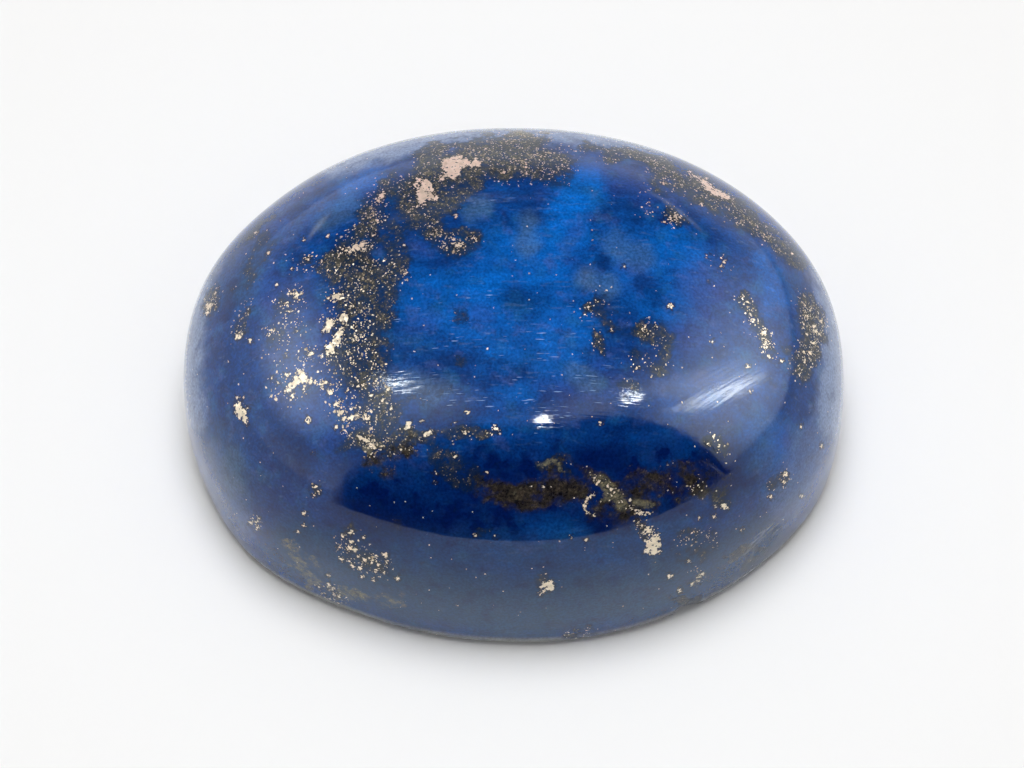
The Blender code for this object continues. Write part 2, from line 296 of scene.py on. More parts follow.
# Markings on the side that the picture hides: mineral, turn round the stone in degrees,
# height and half-width in millimetres, and strength
FAR_MARKINGS = (
    (Mineral.MATRIX, 62.0, 4.2, 1.5, 0.8), (Mineral.GRAIN, 62.0, 4.2, 1.4, 0.6),
    (Mineral.MATRIX, 84.0, 5.6, 1.6, 0.8), (Mineral.GRAIN, 84.0, 5.6, 1.5, 0.6),
    (Mineral.MATRIX, 98.0, 3.2, 1.2, 0.7), (Mineral.GRAIN, 98.0, 3.0, 1.0, 0.5),
    (Mineral.BROWN, 120.0, 1.6, 1.1, 0.5), (Mineral.COARSE, 141.0, 4.4, 0.8, 0.6),
    (Mineral.MATRIX, 40.0, 3.0, 1.1, 0.7), (Mineral.AZURE, 128.0, 4.0, 2.4, 0.7),
    (Mineral.VIOLET, 74.0, 1.8, 2.0, 0.6),
)

# Solid pyrite, as lobes: millimetres right and up of the aim point, and a radius, which
# is never taken as less than the least one
LEAST_LOBE = 0.045
NUGGETS = (
    # The two rose-gold patches on the far vein, and the small ones beside them
    (-1.84, 6.2, 0.17), (-1.6, 6.3, 0.12), (-1.15, 6.42, 0.09), (-2.1, 6.4, 0.08),
    (-2.72, 5.62, 0.12), (-2.76, 5.32, 0.15), (-2.5, 5.52, 0.1), (-2.98, 5.72, 0.07),
    (-1.9, 6.35, 0.2), (-2.01, 6.25, 0.14), (-1.7, 6.42, 0.17), (-1.75, 6.09, 0.14),
    (-1.79, 5.95, 0.09), (-1.47, 6.39, 0.13), (-1.28, 6.34, 0.1), (-1.07, 6.34, 0.1),
    (-2.0, 6.02, 0.09), (-2.16, 5.89, 0.06), (-1.6, 6.54, 0.07), (-2.86, 5.87, 0.08),
    (-2.66, 5.77, 0.12), (-2.53, 5.7, 0.09), (-2.81, 5.47, 0.13), (-2.7, 5.36, 0.13),
    (-2.53, 5.34, 0.09), (-2.35, 5.31, 0.09), (-2.8, 5.19, 0.09), (-2.68, 5.1, 0.05),
    (-2.93, 5.03, 0.06), (-2.83, 5.67, 0.05), (-3.98, 5.37, 0.09), (-4.03, 5.23, 0.07),
    (-3.92, 5.47, 0.04), (-0.64, 6.13, 0.05), (-0.3, 6.11, 0.06),
    # Down the left vein
    (-4.74, 3.83, 0.1), (-4.6, 3.9, 0.07), (-4.83, 3.73, 0.08), (-5.03, 3.7, 0.06),
    (-4.51, 3.75, 0.06), (-4.43, 3.9, 0.05), (-5.19, 3.73, 0.04), (-1.69, 3.9, 0.07),
    (-1.56, 3.92, 0.05), (-1.88, 3.92, 0.05), (-1.29, 4.1, 0.05), (-1.08, 4.06, 0.03),
    (-2.37, 4.32, 0.05), (-5.62, 4.16, 0.05), (-4.14, 4.19, 0.05), (-4.28, 4.19, 0.04),
    (-6.01, 3.26, 0.05), (-6.21, 3.44, 0.04), (-6.67, 3.16, 0.04), (-5.78, 3.39, 0.04),
    (-1.75, 4.78, 0.06), (-3.26, 3.03, 0.06), (-3.29, 3.87, 0.05), (-5.39, 2.32, 0.1),
    (-5.26, 2.26, 0.07), (-5.55, 2.26, 0.05), (-5.19, 2.42, 0.04), (-6.54, 2.34, 0.09),
    (-6.67, 2.42, 0.06), (-6.83, 2.13, 0.06), (-6.75, 1.87, 0.04), (-5.55, 1.51, 0.13),
    (-5.62, 1.34, 0.1), (-5.1, 1.69, 0.13), (-5.21, 1.67, 0.08), (-5.26, 1.21, 0.12),
    (-5.34, 1.01, 0.13), (-5.55, 0.75, 0.14), (-5.62, 0.62, 0.09), (-5.49, 0.85, 0.1),
    (-5.19, 1.34, 0.07), (-4.87, 2.03, 0.06), (-4.83, 1.41, 0.05), (-5.1, 1.05, 0.05),
    (-6.14, 0.59, 0.08), (-6.54, 1.31, 0.05), (-5.75, 1.28, 0.05), (-6.87, 0.55, 0.05),
    (-5.39, 0.65, 0.05),
    # Near the left rim
    (-9.23, 2.03, 0.09), (-9.26, 1.83, 0.06), (-9.11, 2.1, 0.05), (-9.03, 2.42, 0.05),
    (-8.32, 1.13, 0.09), (-8.21, 1.21, 0.05), (-8.36, 1.05, 0.05), (-7.95, 0.98, 0.07),
    (-8.01, 1.93, 0.04), (-7.78, 4.26, 0.03), (-7.4, 3.66, 0.05), (-7.16, 2.67, 0.03),
    (-6.34, 4.05, 0.03),
    # Bright grains on the left shoulder
    (-6.51, -0.19, 0.14), (-6.34, -0.15, 0.13), (-6.67, -0.35, 0.12), (-6.8, -0.51, 0.09),
    (-6.67, -0.69, 0.07), (-6.14, -0.25, 0.09), (-6.87, -0.02, 0.06), (-6.31, -0.45, 0.07),
    (-6.44, 0.01, 0.09), (-5.55, -0.56, 0.09), (-5.67, -0.25, 0.06), (-5.78, -0.38, 0.05),
    (-7.29, -0.15, 0.03), (-7.13, -0.28, 0.05), (-5.33, -0.94, 0.08), (-5.23, -1.2, 0.09),
    (-5.13, -1.37, 0.08), (-4.9, -1.33, 0.09), (-4.74, -1.3, 0.08), (-4.41, -1.4, 0.08),
    (-4.47, -1.3, 0.06), (-5.36, -1.63, 0.06), (-5.16, -1.66, 0.05), (-4.64, -1.96, 0.08),
    (-4.51, -1.99, 0.07), (-4.41, -2.05, 0.06), (-4.28, -2.19, 0.09), (-4.19, -2.25, 0.05),
    (-5.23, -0.87, 0.05), (-4.75, -0.38, 0.06), (-4.18, -0.35, 0.05), (-3.78, -0.48, 0.06),
    (-3.95, -0.81, 0.05), (-4.31, -0.68, 0.04), (-4.54, -0.35, 0.04), (-5.03, -0.55, 0.04),
    (-3.69, -1.07, 0.05),
    # Along the edge of the dark reflection
    (-3.16, -1.58, 0.1), (-3.12, -1.5, 0.06), (-3.23, -1.66, 0.05), (-2.74, -1.43, 0.05),
    (-2.67, -1.86, 0.06), (-2.54, -1.81, 0.07), (-2.44, -1.78, 0.05), (-1.39, -1.17, 0.07),
    (-1.48, -1.79, 0.06), (-0.57, -1.61, 0.05), (-0.51, -1.68, 0.06), (-0.44, -1.76, 0.05),
    (-1.78, -1.5, 0.05), (-3.39, -1.69, 0.03), (-6.21, -1.41, 0.09), (-1.75, -2.51, 0.04),
    # The oval grain and loose flecks on the left
    (-8.32, -0.97, 0.1), (-8.3, -1.14, 0.13), (-8.26, -1.28, 0.09), (-8.16, -1.17, 0.1),
    (-8.11, -1.37, 0.1), (-8.08, -1.5, 0.06), (-8.36, -0.74, 0.05), (-8.18, -0.74, 0.04),
    (-7.98, -1.01, 0.03), (-6.03, -2.41, 0.04), (-6.32, -4.22, 0.06), (-6.51, -4.78, 0.04),
    (-6.31, -4.58, 0.03), (-5.98, -3.43, 0.03), (-6.0, -3.68, 0.03), (-5.88, -3.56, 0.03),
    (-7.78, -4.48, 0.03), (-7.71, -4.42, 0.03), (-7.75, -4.68, 0.04), (-7.95, -4.51, 0.03),
    # The sprinkled cluster low on the left, and the pyrite by its edge
    (-4.9, -5.1, 0.05), (-4.93, -5.3, 0.08), (-4.78, -5.33, 0.06), (-5.16, -4.91, 0.05),
    (-4.93, -4.82, 0.04), (-5.29, -5.27, 0.05), (-5.19, -5.62, 0.06), (-4.54, -4.97, 0.05),
    (-4.7, -5.53, 0.05), (-4.51, -5.63, 0.07), (-4.64, -5.89, 0.07), (-4.87, -5.82, 0.06),
    (-3.88, -5.5, 0.09), (-3.82, -5.69, 0.05), (-4.08, -5.79, 0.06), (-4.28, -5.69, 0.06),
    (-3.92, -6.02, 0.04), (-4.14, -5.96, 0.05), (-3.51, -6.2, 0.07), (-4.21, -6.23, 0.05),
    (-4.57, -6.14, 0.03), (-5.59, -6.41, 0.06), (-5.46, -6.51, 0.05), (-5.42, -6.68, 0.05),
    (-5.26, -6.74, 0.04), (-5.88, -6.45, 0.04), (-5.59, -6.09, 0.03),
    # The long streak near the far right rim
    (5.34, 6.08, 0.04), (5.47, 5.97, 0.06), (5.61, 5.9, 0.07), (5.77, 5.79, 0.09),
    (5.91, 5.64, 0.12), (6.04, 5.52, 0.11), (6.18, 5.47, 0.11), (6.35, 5.39, 0.1),
    (6.48, 5.32, 0.08), (6.65, 5.26, 0.05), (5.84, 5.9, 0.04),
    # On the right of the crown
    (4.9, 4.66, 0.05), (4.76, 4.7, 0.04), (4.93, 4.78, 0.04), (4.56, 4.6, 0.03),
    (-0.3, 6.08, 0.05), (0.88, 6.59, 0.04), (0.81, 6.12, 0.03), (6.38, 3.4, 0.06),
    (5.88, 3.56, 0.04), (6.31, 3.25, 0.04), (5.71, 5.12, 0.03), (4.56, 5.76, 0.03),
    (4.76, 2.03, 0.07), (2.99, 1.29, 0.05), (2.26, 1.97, 0.04), (2.53, 2.19, 0.03),
    (3.34, 3.23, 0.05), (3.92, 1.32, 0.05), (4.05, 1.22, 0.05), (4.32, 1.43, 0.04),
    (3.99, 1.43, 0.03), (6.01, 0.97, 0.04), (7.09, 2.15, 0.04), (7.21, 1.78, 0.05),
    (7.6, 0.99, 0.05), (7.66, 0.78, 0.05), (7.55, 1.22, 0.04), (7.77, 0.48, 0.04),
    (7.12, 0.22, 0.06), (8.12, 0.38, 0.04), (8.44, 3.62, 0.03), (3.72, 0.16, 0.05),
    # At the right rim
    (8.91, 1.73, 0.05), (9.08, 1.43, 0.06), (9.11, 1.29, 0.05), (8.88, 1.19, 0.04),
    (9.05, 0.92, 0.05), (8.98, 0.62, 0.05), (9.25, 1.19, 0.05), (8.78, 0.65, 0.04),
    (9.32, 1.59, 0.03), (8.81, 0.38, 0.05),
    # The knot of the front vein and the thin curl beside it
    (2.46, -3.65, 0.035), (2.38, -3.69, 0.04), (2.3, -3.75, 0.04), (2.24, -3.82, 0.04),
    (2.19, -3.9, 0.045), (2.16, -3.99, 0.045), (2.16, -4.08, 0.045), (2.19, -4.16, 0.045),
    (2.25, -4.22, 0.045), (2.33, -4.27, 0.04), (2.42, -4.29, 0.04), (2.5, -4.26, 0.035),
    (2.34, -3.02, 0.035), (2.62, -3.24, 0.04), (2.86, -3.42, 0.05), (2.95, -3.54, 0.045),
    # The chain below the knot and the large drop at its end
    (2.43, -3.16, 0.05), (2.53, -3.33, 0.05), (3.05, -3.51, 0.05), (2.97, -3.7, 0.05),
    (3.24, -3.89, 0.05), (3.55, -3.84, 0.04), (3.58, -4.01, 0.05), (3.72, -4.16, 0.05),
    (3.85, -4.22, 0.07), (3.99, -4.26, 0.07), (4.11, -4.24, 0.05), (3.78, -4.51, 0.05),
    (3.86, -4.61, 0.05), (4.07, -4.68, 0.06), (4.13, -4.75, 0.07), (4.02, -4.78, 0.05),
    (3.85, -4.85, 0.04), (4.26, -4.85, 0.04), (4.39, -4.88, 0.04), (3.99, -5.04, 0.05),
    (4.09, -5.15, 0.1), (4.26, -5.05, 0.13), (4.36, -5.0, 0.09), (4.19, -5.24, 0.19),
    (4.32, -5.2, 0.12), (4.09, -5.34, 0.12), (4.26, -5.39, 0.11), (4.02, -5.4, 0.06),
    (4.42, -5.38, 0.05), (4.4, -5.15, 0.07),
    # Low on the front and on the right
    (0.87, -6.44, 0.07), (0.98, -6.4, 0.1), (1.14, -6.34, 0.09), (1.12, -6.48, 0.1),
    (1.02, -6.5, 0.07), (0.88, -6.62, 0.05), (0.8, -6.67, 0.03), (1.74, -4.96, 0.05),
    (2.22, -5.03, 0.04), (5.62, -4.4, 0.03), (6.08, -4.32, 0.04), (4.67, -2.77, 0.04),
    (0.51, -3.4, 0.03), (0.88, -3.47, 0.03), (2.65, -1.52, 0.07), (5.57, -6.28, 0.05),
    (5.62, -6.13, 0.05), (4.74, -6.13, 0.07), (5.02, -6.56, 0.07), (5.3, -5.69, 0.04),
    (5.71, -6.07, 0.03), (5.4, -6.37, 0.03), (6.37, -4.01, 0.09), (6.45, -4.07, 0.05),
    (6.11, -4.03, 0.05), (6.06, -1.92, 0.06), (5.91, -2.15, 0.05), (6.21, -2.2, 0.04),
    (6.43, -2.22, 0.03), (8.24, -3.06, 0.07), (8.2, -3.28, 0.05), (7.78, -3.75, 0.06),
    (8.71, -3.7, 0.03), (9.32, -2.2, 0.03), (6.91, -4.73, 0.03), (8.71, -1.61, 0.03),
    (7.19, -0.53, 0.04), (-1.16, -4.89, 0.06), (-0.54, -4.96, 0.05), (-2.37, -3.01, 0.04),
    (-2.37, -3.3, 0.04), (-0.8, -3.01, 0.03),
)


def linear(red: float, green: float, blue: float) -> tuple[float, float, float, float]:
    """Turns a colour as the eye reads it, 0 to 255, into linear light.

    Args:
        red, green, blue: the colour's parts, 0 to 255.

    Returns:
        The linear colour with full alpha.
    """
    parts = []
    for part in (red, green, blue):
        share = part / 255.0
        parts.append(share / 12.92 if share <= 0.04045 else ((share + 0.055) / 1.055) ** 2.4)
    return (parts[0], parts[1], parts[2], 1.0)


def smooth_step(low: float, high: float, value: np.ndarray) -> np.ndarray:
    """Smooth ramp from 0 at low to 1 at high.

    Args:
        low, high: ends of the ramp; low may be the larger one.
        value: where the ramp is read.

    Returns:
        The ramp's value, 0 to 1.
    """
    share = np.clip((value - low) / (high - low), 0.0, 1.0)
    return share * share * (3.0 - 2.0 * share)


def soft_edge(away: np.ndarray) -> np.ndarray:
    """Strength of a soft marking, 1 to 0, at a distance from its middle in half-widths."""
    return smooth_step(*SOFT_EDGE, away)


def noise_at(points: np.ndarray, size: float, seed: float) -> np.ndarray:
    """Smooth noise of about -1 to 1 at each place.

    Args:
        points: places in metres, one row each.
        size: width of one hump of the noise, in metres.
        seed: shift that picks another part of the noise.

    Returns:
        The noise at each place.
    """
    scaled = points / size + seed * 17.31
    return np.array([noise.noise(Vector(row)) for row in scaled])


def deselect_all() -> None:
    """Leaves edit mode and deselects every object."""
    if bpy.context.object is not None and bpy.context.object.mode != "OBJECT":
        bpy.ops.object.mode_set(mode="OBJECT")
    bpy.ops.object.select_all(action="DESELECT")


@dataclass
class Viewpoint:
    """Where the picture is taken from: raised above the table on the -Y side."""

    elevation: float = 60.0
    distance: float = 200.0 * MM
    aim: Vector = field(default_factory=lambda: Vector((0.0, 0.0, 3.0 * MM)))
    pixels_per_mm: float = 33.07
    aim_pixel: tuple[float, float] = (513.3, 373.6)
    picture: tuple[int, int] = (1024, 768)
    film_width: float = 36.0

    def axes(self) -> tuple[Vector, Vector, Vector]:
        """Directions of the view: right, up and forward."""
        rise = math.radians(self.elevation)
        right = Vector((1.0, 0.0, 0.0))
        up = Vector((0.0, math.sin(rise), math.cos(rise)))
        forward = Vector((0.0, math.cos(rise), -math.sin(rise)))
        return right, up, forward

    def place(self) -> Vector:
        """Where the camera stands, so that the aim point falls on its pixel."""
        right, up, forward = self.axes()
        off_right = (self.picture[0] / 2.0 - self.aim_pixel[0]) / self.pixels_per_mm * MM
        off_up = (self.aim_pixel[1] - self.picture[1] / 2.0) / self.pixels_per_mm * MM
        return self.aim + right * off_right + up * off_up - forward * self.distance

    def in_view(self, points: np.ndarray) -> tuple[np.ndarray, np.ndarray]:
        """Where points appear, in millimetres in the plane through the aim point.

        Args:
            points: places in metres, one row each.

        Returns:
            How far right and how far up of the aim point each one appears.
        """
        right, up, forward = (np.array(axis) for axis in self.axes())
        away = points - np.array(self.aim)
        depth = self.distance + away @ forward
        scale = self.distance / depth / MM
        return (away @ right) * scale, (away @ up) * scale

    def add_camera(self) -> bpy.types.Object:
        """Adds the camera at its place and makes it the scene's camera."""
        data = bpy.data.cameras.new("picture_camera")
        data.sensor_width = self.film_width
        focal_pixels = self.pixels_per_mm * self.distance / MM
        data.lens = focal_pixels / self.picture[0] * self.film_width
        data.clip_start = 10.0 * MM
        data.dof.use_dof = False
        camera = bpy.data.objects.new("picture_camera", data)
        camera.location = self.place()
        forward = self.axes()[2]
        camera.rotation_euler = forward.to_track_quat("-Z", "Y").to_euler()
        bpy.context.scene.collection.objects.link(camera)
        bpy.context.scene.camera = camera
        return camera


@dataclass
class CabochonForm:
    """The stone's form: a soft dome over a side wall, a bevel and a flat base."""

    length: float
    width: float
    height: float
    widest_height: float = 2.0 * MM
    wall_draw_in: float = 0.018
    bevel_height: float = 0.30 * MM
    bevel_reach: float = 0.42 * MM
    dome_power: float = 2.45
    girdle_power: float = 2.07
    crown_power: float = 2.13
    swell_span: float = 14.0
    bevel_tuck_power: float = 1.6
    bevel_drop_power: float = 0.9
    profile_samples: int = 2000
    grid_squares: int = 280
    wall_rings: int = 11
    bevel_rings: int = 3
    base_insets: tuple[float, float] = (0.03, 0.05)
    chip_grain: float = 0.22 * MM
    chip_raggedness: float = 0.35
    chip_power: float = 1.5
    ripple_depth: float = 0.006 * MM
    ripple_size: float = 2.6 * MM
    ripple_start: tuple[float, float] = (0.6 * MM, 1.5 * MM)
    edge_wear: float = 0.03 * MM
    wear_size: float = 0.35 * MM
    wear_height: float = 0.2 * MM
    wear_band: float = 0.15 * MM
    wear_spared: float = 0.15
    centre_height: float = 0.3

    # Hand-cut unevenness: turn in degrees, and how far the outline swells in millimetres
    SWELLS = {
        20: 0.09, 140: -0.05, 160: 0.08, 200: -0.07, 220: 0.08,
        240: -0.09, 280: 0.06, 320: -0.05, 340: 0.05,
    }
    # Small damage: turn in degrees, height, half-width and depth
    DAMAGE = {
        "edge chip": (301.0, 0.15 * MM, 0.55 * MM, 0.16 * MM),
        "fissured patch": (318.0, 2.1 * MM, 0.75 * MM, 0.05 * MM),
        "side nick": (188.0, 0.9 * MM, 0.40 * MM, 0.05 * MM),
    }
    # Which part of the noise each kind of wear reads
    CHIP_SEED = 7.0
    WEAR_SEED = 3.0
    RIPPLE_SEED = 21.0

    def blank(self) -> bpy.types.Object:
        """Models the square blank: a grid with its rim extruded down and closed.

        Returns:
            The blank: the grid at z = 0, the wall down to -1 and the bevel to -2.
        """
        deselect_all()
        bpy.ops.mesh.primitive_grid_add(
            x_subdivisions=self.grid_squares, y_subdivisions=self.grid_squares, size=2.0
        )
        stone = bpy.context.object
        stone.name = "lapis_cabochon_polished"
        stone.data.name = stone.name
        bpy.ops.object.mode_set(mode="EDIT")
        bpy.ops.mesh.select_mode(type="EDGE")
        for rings in (self.wall_rings, self.bevel_rings):
            self.extrude_rim_down(rings)
        self.select_rim()
        bpy.ops.mesh.edge_face_add()
        for thickness in self.base_insets:
            bpy.ops.mesh.inset(thickness=thickness)
        bpy.ops.mesh.select_all(action="SELECT")
        bpy.ops.mesh.normals_make_consistent(inside=False)
        bpy.ops.object.mode_set(mode="OBJECT")
        return stone

    def select_rim(self) -> None:
        """Selects the open rim of the mesh being edited."""
        bpy.ops.mesh.select_all(action="DESELECT")
        bpy.ops.mesh.select_non_manifold(
            extend=False,
            use_wire=False,
            use_boundary=True,
            use_multi_face=False,
            use_non_contiguous=False,
            use_verts=False,
        )

    def extrude_rim_down(self, rings: int) -> None:
        """Extrudes the open rim down by one unit, in equal rings.

        Args:
            rings: how many rings of faces the unit is cut into.
        """
        self.select_rim()
        for _ in range(rings):
            bpy.ops.mesh.extrude_region_move(
                TRANSFORM_OT_translate={"value": (0.0, 0.0, -1.0 / rings)}
            )

    def dome(self, travel: np.ndarray) -> tuple[np.ndarray, np.ndarray]:
        """Radial share and height over the dome.

        Args:
            travel: share of the way from the crown down to the widest level.

        Returns:
            The radial share, 0 to 1, and the height in metres.
        """
        sweep = np.linspace(math.pi / 2.0, 0.0, self.profile_samples)
        shares = np.abs(np.cos(sweep)) ** (2.0 / self.dome_power)
        shares[0] = 0.0
        rises = (self.height - self.widest_height) * np.sin(sweep) ** (2.0 / self.dome_power)
        run = np.hypot(np.diff(shares) * self.length / 2.0, np.diff(rises))
        path = np.concatenate([[0.0], np.cumsum(run)])
        path /= path[-1]
        share = np.interp(travel, path, shares)
        return share, self.widest_height + np.interp(travel, path, rises)

    def dome_share_at(self, height: float) -> float:
        """Radial share of the dome at a height above the widest level."""
        rise = (height - self.widest_height) / (self.height - self.widest_height)
        return (1.0 - rise**self.dome_power) ** (1.0 / self.dome_power)

    def wall_share(self, height: np.ndarray) -> np.ndarray:
        """Radial share of the side wall at a height below the widest level."""
        drop = (self.widest_height - height) / self.widest_height
        return 1.0 - self.wall_draw_in * drop * drop

    def swell(self, turn: np.ndarray) -> np.ndarray:
        """How far the hand-cut outline stands out at a turn in degrees, in metres."""
        total = np.zeros_like(turn)
        for place, amount in self.SWELLS.items():
            away = (turn - place + 180.0) % 360.0 - 180.0
            total += amount * MM * np.exp(-((away / self.swell_span) ** 2))
        return total

    def reach(self, turn: np.ndarray, height: np.ndarray) -> np.ndarray:
        """Distance from the axis to the oval outline at a turn and a height."""
        climb = (height - self.widest_height) / (self.height - self.widest_height)
        power = self.girdle_power + (self.crown_power - self.girdle_power) * np.maximum(climb, 0)
        along = np.abs(np.cos(np.radians(turn)))
        across = np.abs(np.sin(np.radians(turn)))
        oval = (along**power + across**power) ** (-1.0 / power)
        return oval * np.hypot(self.length / 2.0 * along, self.width / 2.0 * across)

    def place(self, share: np.ndarray, turn: np.ndarray, height: np.ndarray) -> np.ndarray:
        """Places on the stone, in metres.

        Args:
            share: radial share of the outline, 0 to 1.
            turn: turn round the stone in degrees.
            height: height above the base.

        Returns:
            One row of x, y and z for each place.
        """
        along = self.length * np.cos(np.radians(turn))
        across = self.width * np.sin(np.radians(turn))
        scale = share * (self.reach(turn, height) + self.swell(turn)) / np.hypot(along, across)
        return np.stack([along * scale, across * scale, height], axis=-1)

    def shape(self, stone: bpy.types.Object) -> None:
        """Carries every point of the square blank out to its place on the stone."""
        count = len(stone.data.vertices)
        flat = np.zeros(count * 3)
        stone.data.vertices.foreach_get("co", flat)
        x, y, level = flat.reshape(-1, 3).T
        across = x * np.sqrt(1.0 - y**2 / 2.0)
        away = y * np.sqrt(1.0 - x**2 / 2.0)
        travel = np.hypot(across, away)
        turn = np.degrees(np.arctan2(away, across)) % 360.0
        share, height = self.dome(np.minimum(travel, 1.0))
        down = np.clip(-level, 0.0, 1.0)
        wall_height = self.widest_height + (self.bevel_height - self.widest_height) * down
        under = np.clip(-level - 1.0, 0.0, 1.0)
        on_wall = level < -TINY
        share = np.where(on_wall, self.wall_share(wall_height), share)
        height = np.where(on_wall, wall_height, height)
        tuck = self.bevel_reach / (self.length / 2.0)
        base_share = self.wall_share(np.array(self.bevel_height)) - tuck
        on_bevel = level < -1.0 - TINY
        tucked = share - tuck * under**self.bevel_tuck_power
        dropped = self.bevel_height * (1.0 - under**self.bevel_drop_power)
        share = np.where(on_bevel, tucked, share)
        height = np.where(on_bevel, dropped, height)
        flat_base = (level < -2.0 + TINY) & (travel < 1.0 - 100.0 * TINY)
        share = np.where(flat_base, base_share * travel, share)
        height = np.where(flat_base, 0.0, height)
        points = self.worn(self.place(share, turn, height))
        stone.data.vertices.foreach_set("co", points.ravel())
        stone.data.update()

    def worn(self, points: np.ndarray) -> np.ndarray:
        """Takes away what chips and edge wear have taken, and adds the polish's ripple.

        Args:
            points: places on the stone, in metres.

        Returns:
            The same places, moved a little.
        """
        outward = points * np.array([1.0, 1.0, 0.0])
        outward /= np.maximum(np.linalg.norm(outward, axis=1, keepdims=True), TINY * MM)
        ragged = noise_at(points, self.chip_grain, self.CHIP_SEED) * self.chip_raggedness
        for turn, height, reach, depth in self.DAMAGE.values():
            level = np.array([height])
            centre = self.place(self.wall_share(level), np.array([turn]), level)[0]
            away = np.linalg.norm(points - centre, axis=1) / reach + ragged
            bite = depth * np.clip(1.0 - away * away, 0.0, 1.0) ** self.chip_power
            points = points - outward * bite[:, None]
        near_edge = np.exp(-(((points[:, 2] - self.wear_height) / self.wear_band) ** 2))
        nibble = noise_at(points, self.wear_size, self.WEAR_SEED) - self.wear_spared
        nibble = np.clip(nibble, 0.0, 1.0) * near_edge * self.edge_wear
        points = points - outward * nibble[:, None]
        ripple = noise_at(points, self.ripple_size, self.RIPPLE_SEED) * self.ripple_depth
        ripple *= smooth_step(*self.ripple_start, points[:, 2])
        centre = np.array([0.0, 0.0, self.height * self.centre_height])
        lift = points - centre
        lift /= np.linalg.norm(lift, axis=1, keepdims=True)
        return points + lift * ripple[:, None]


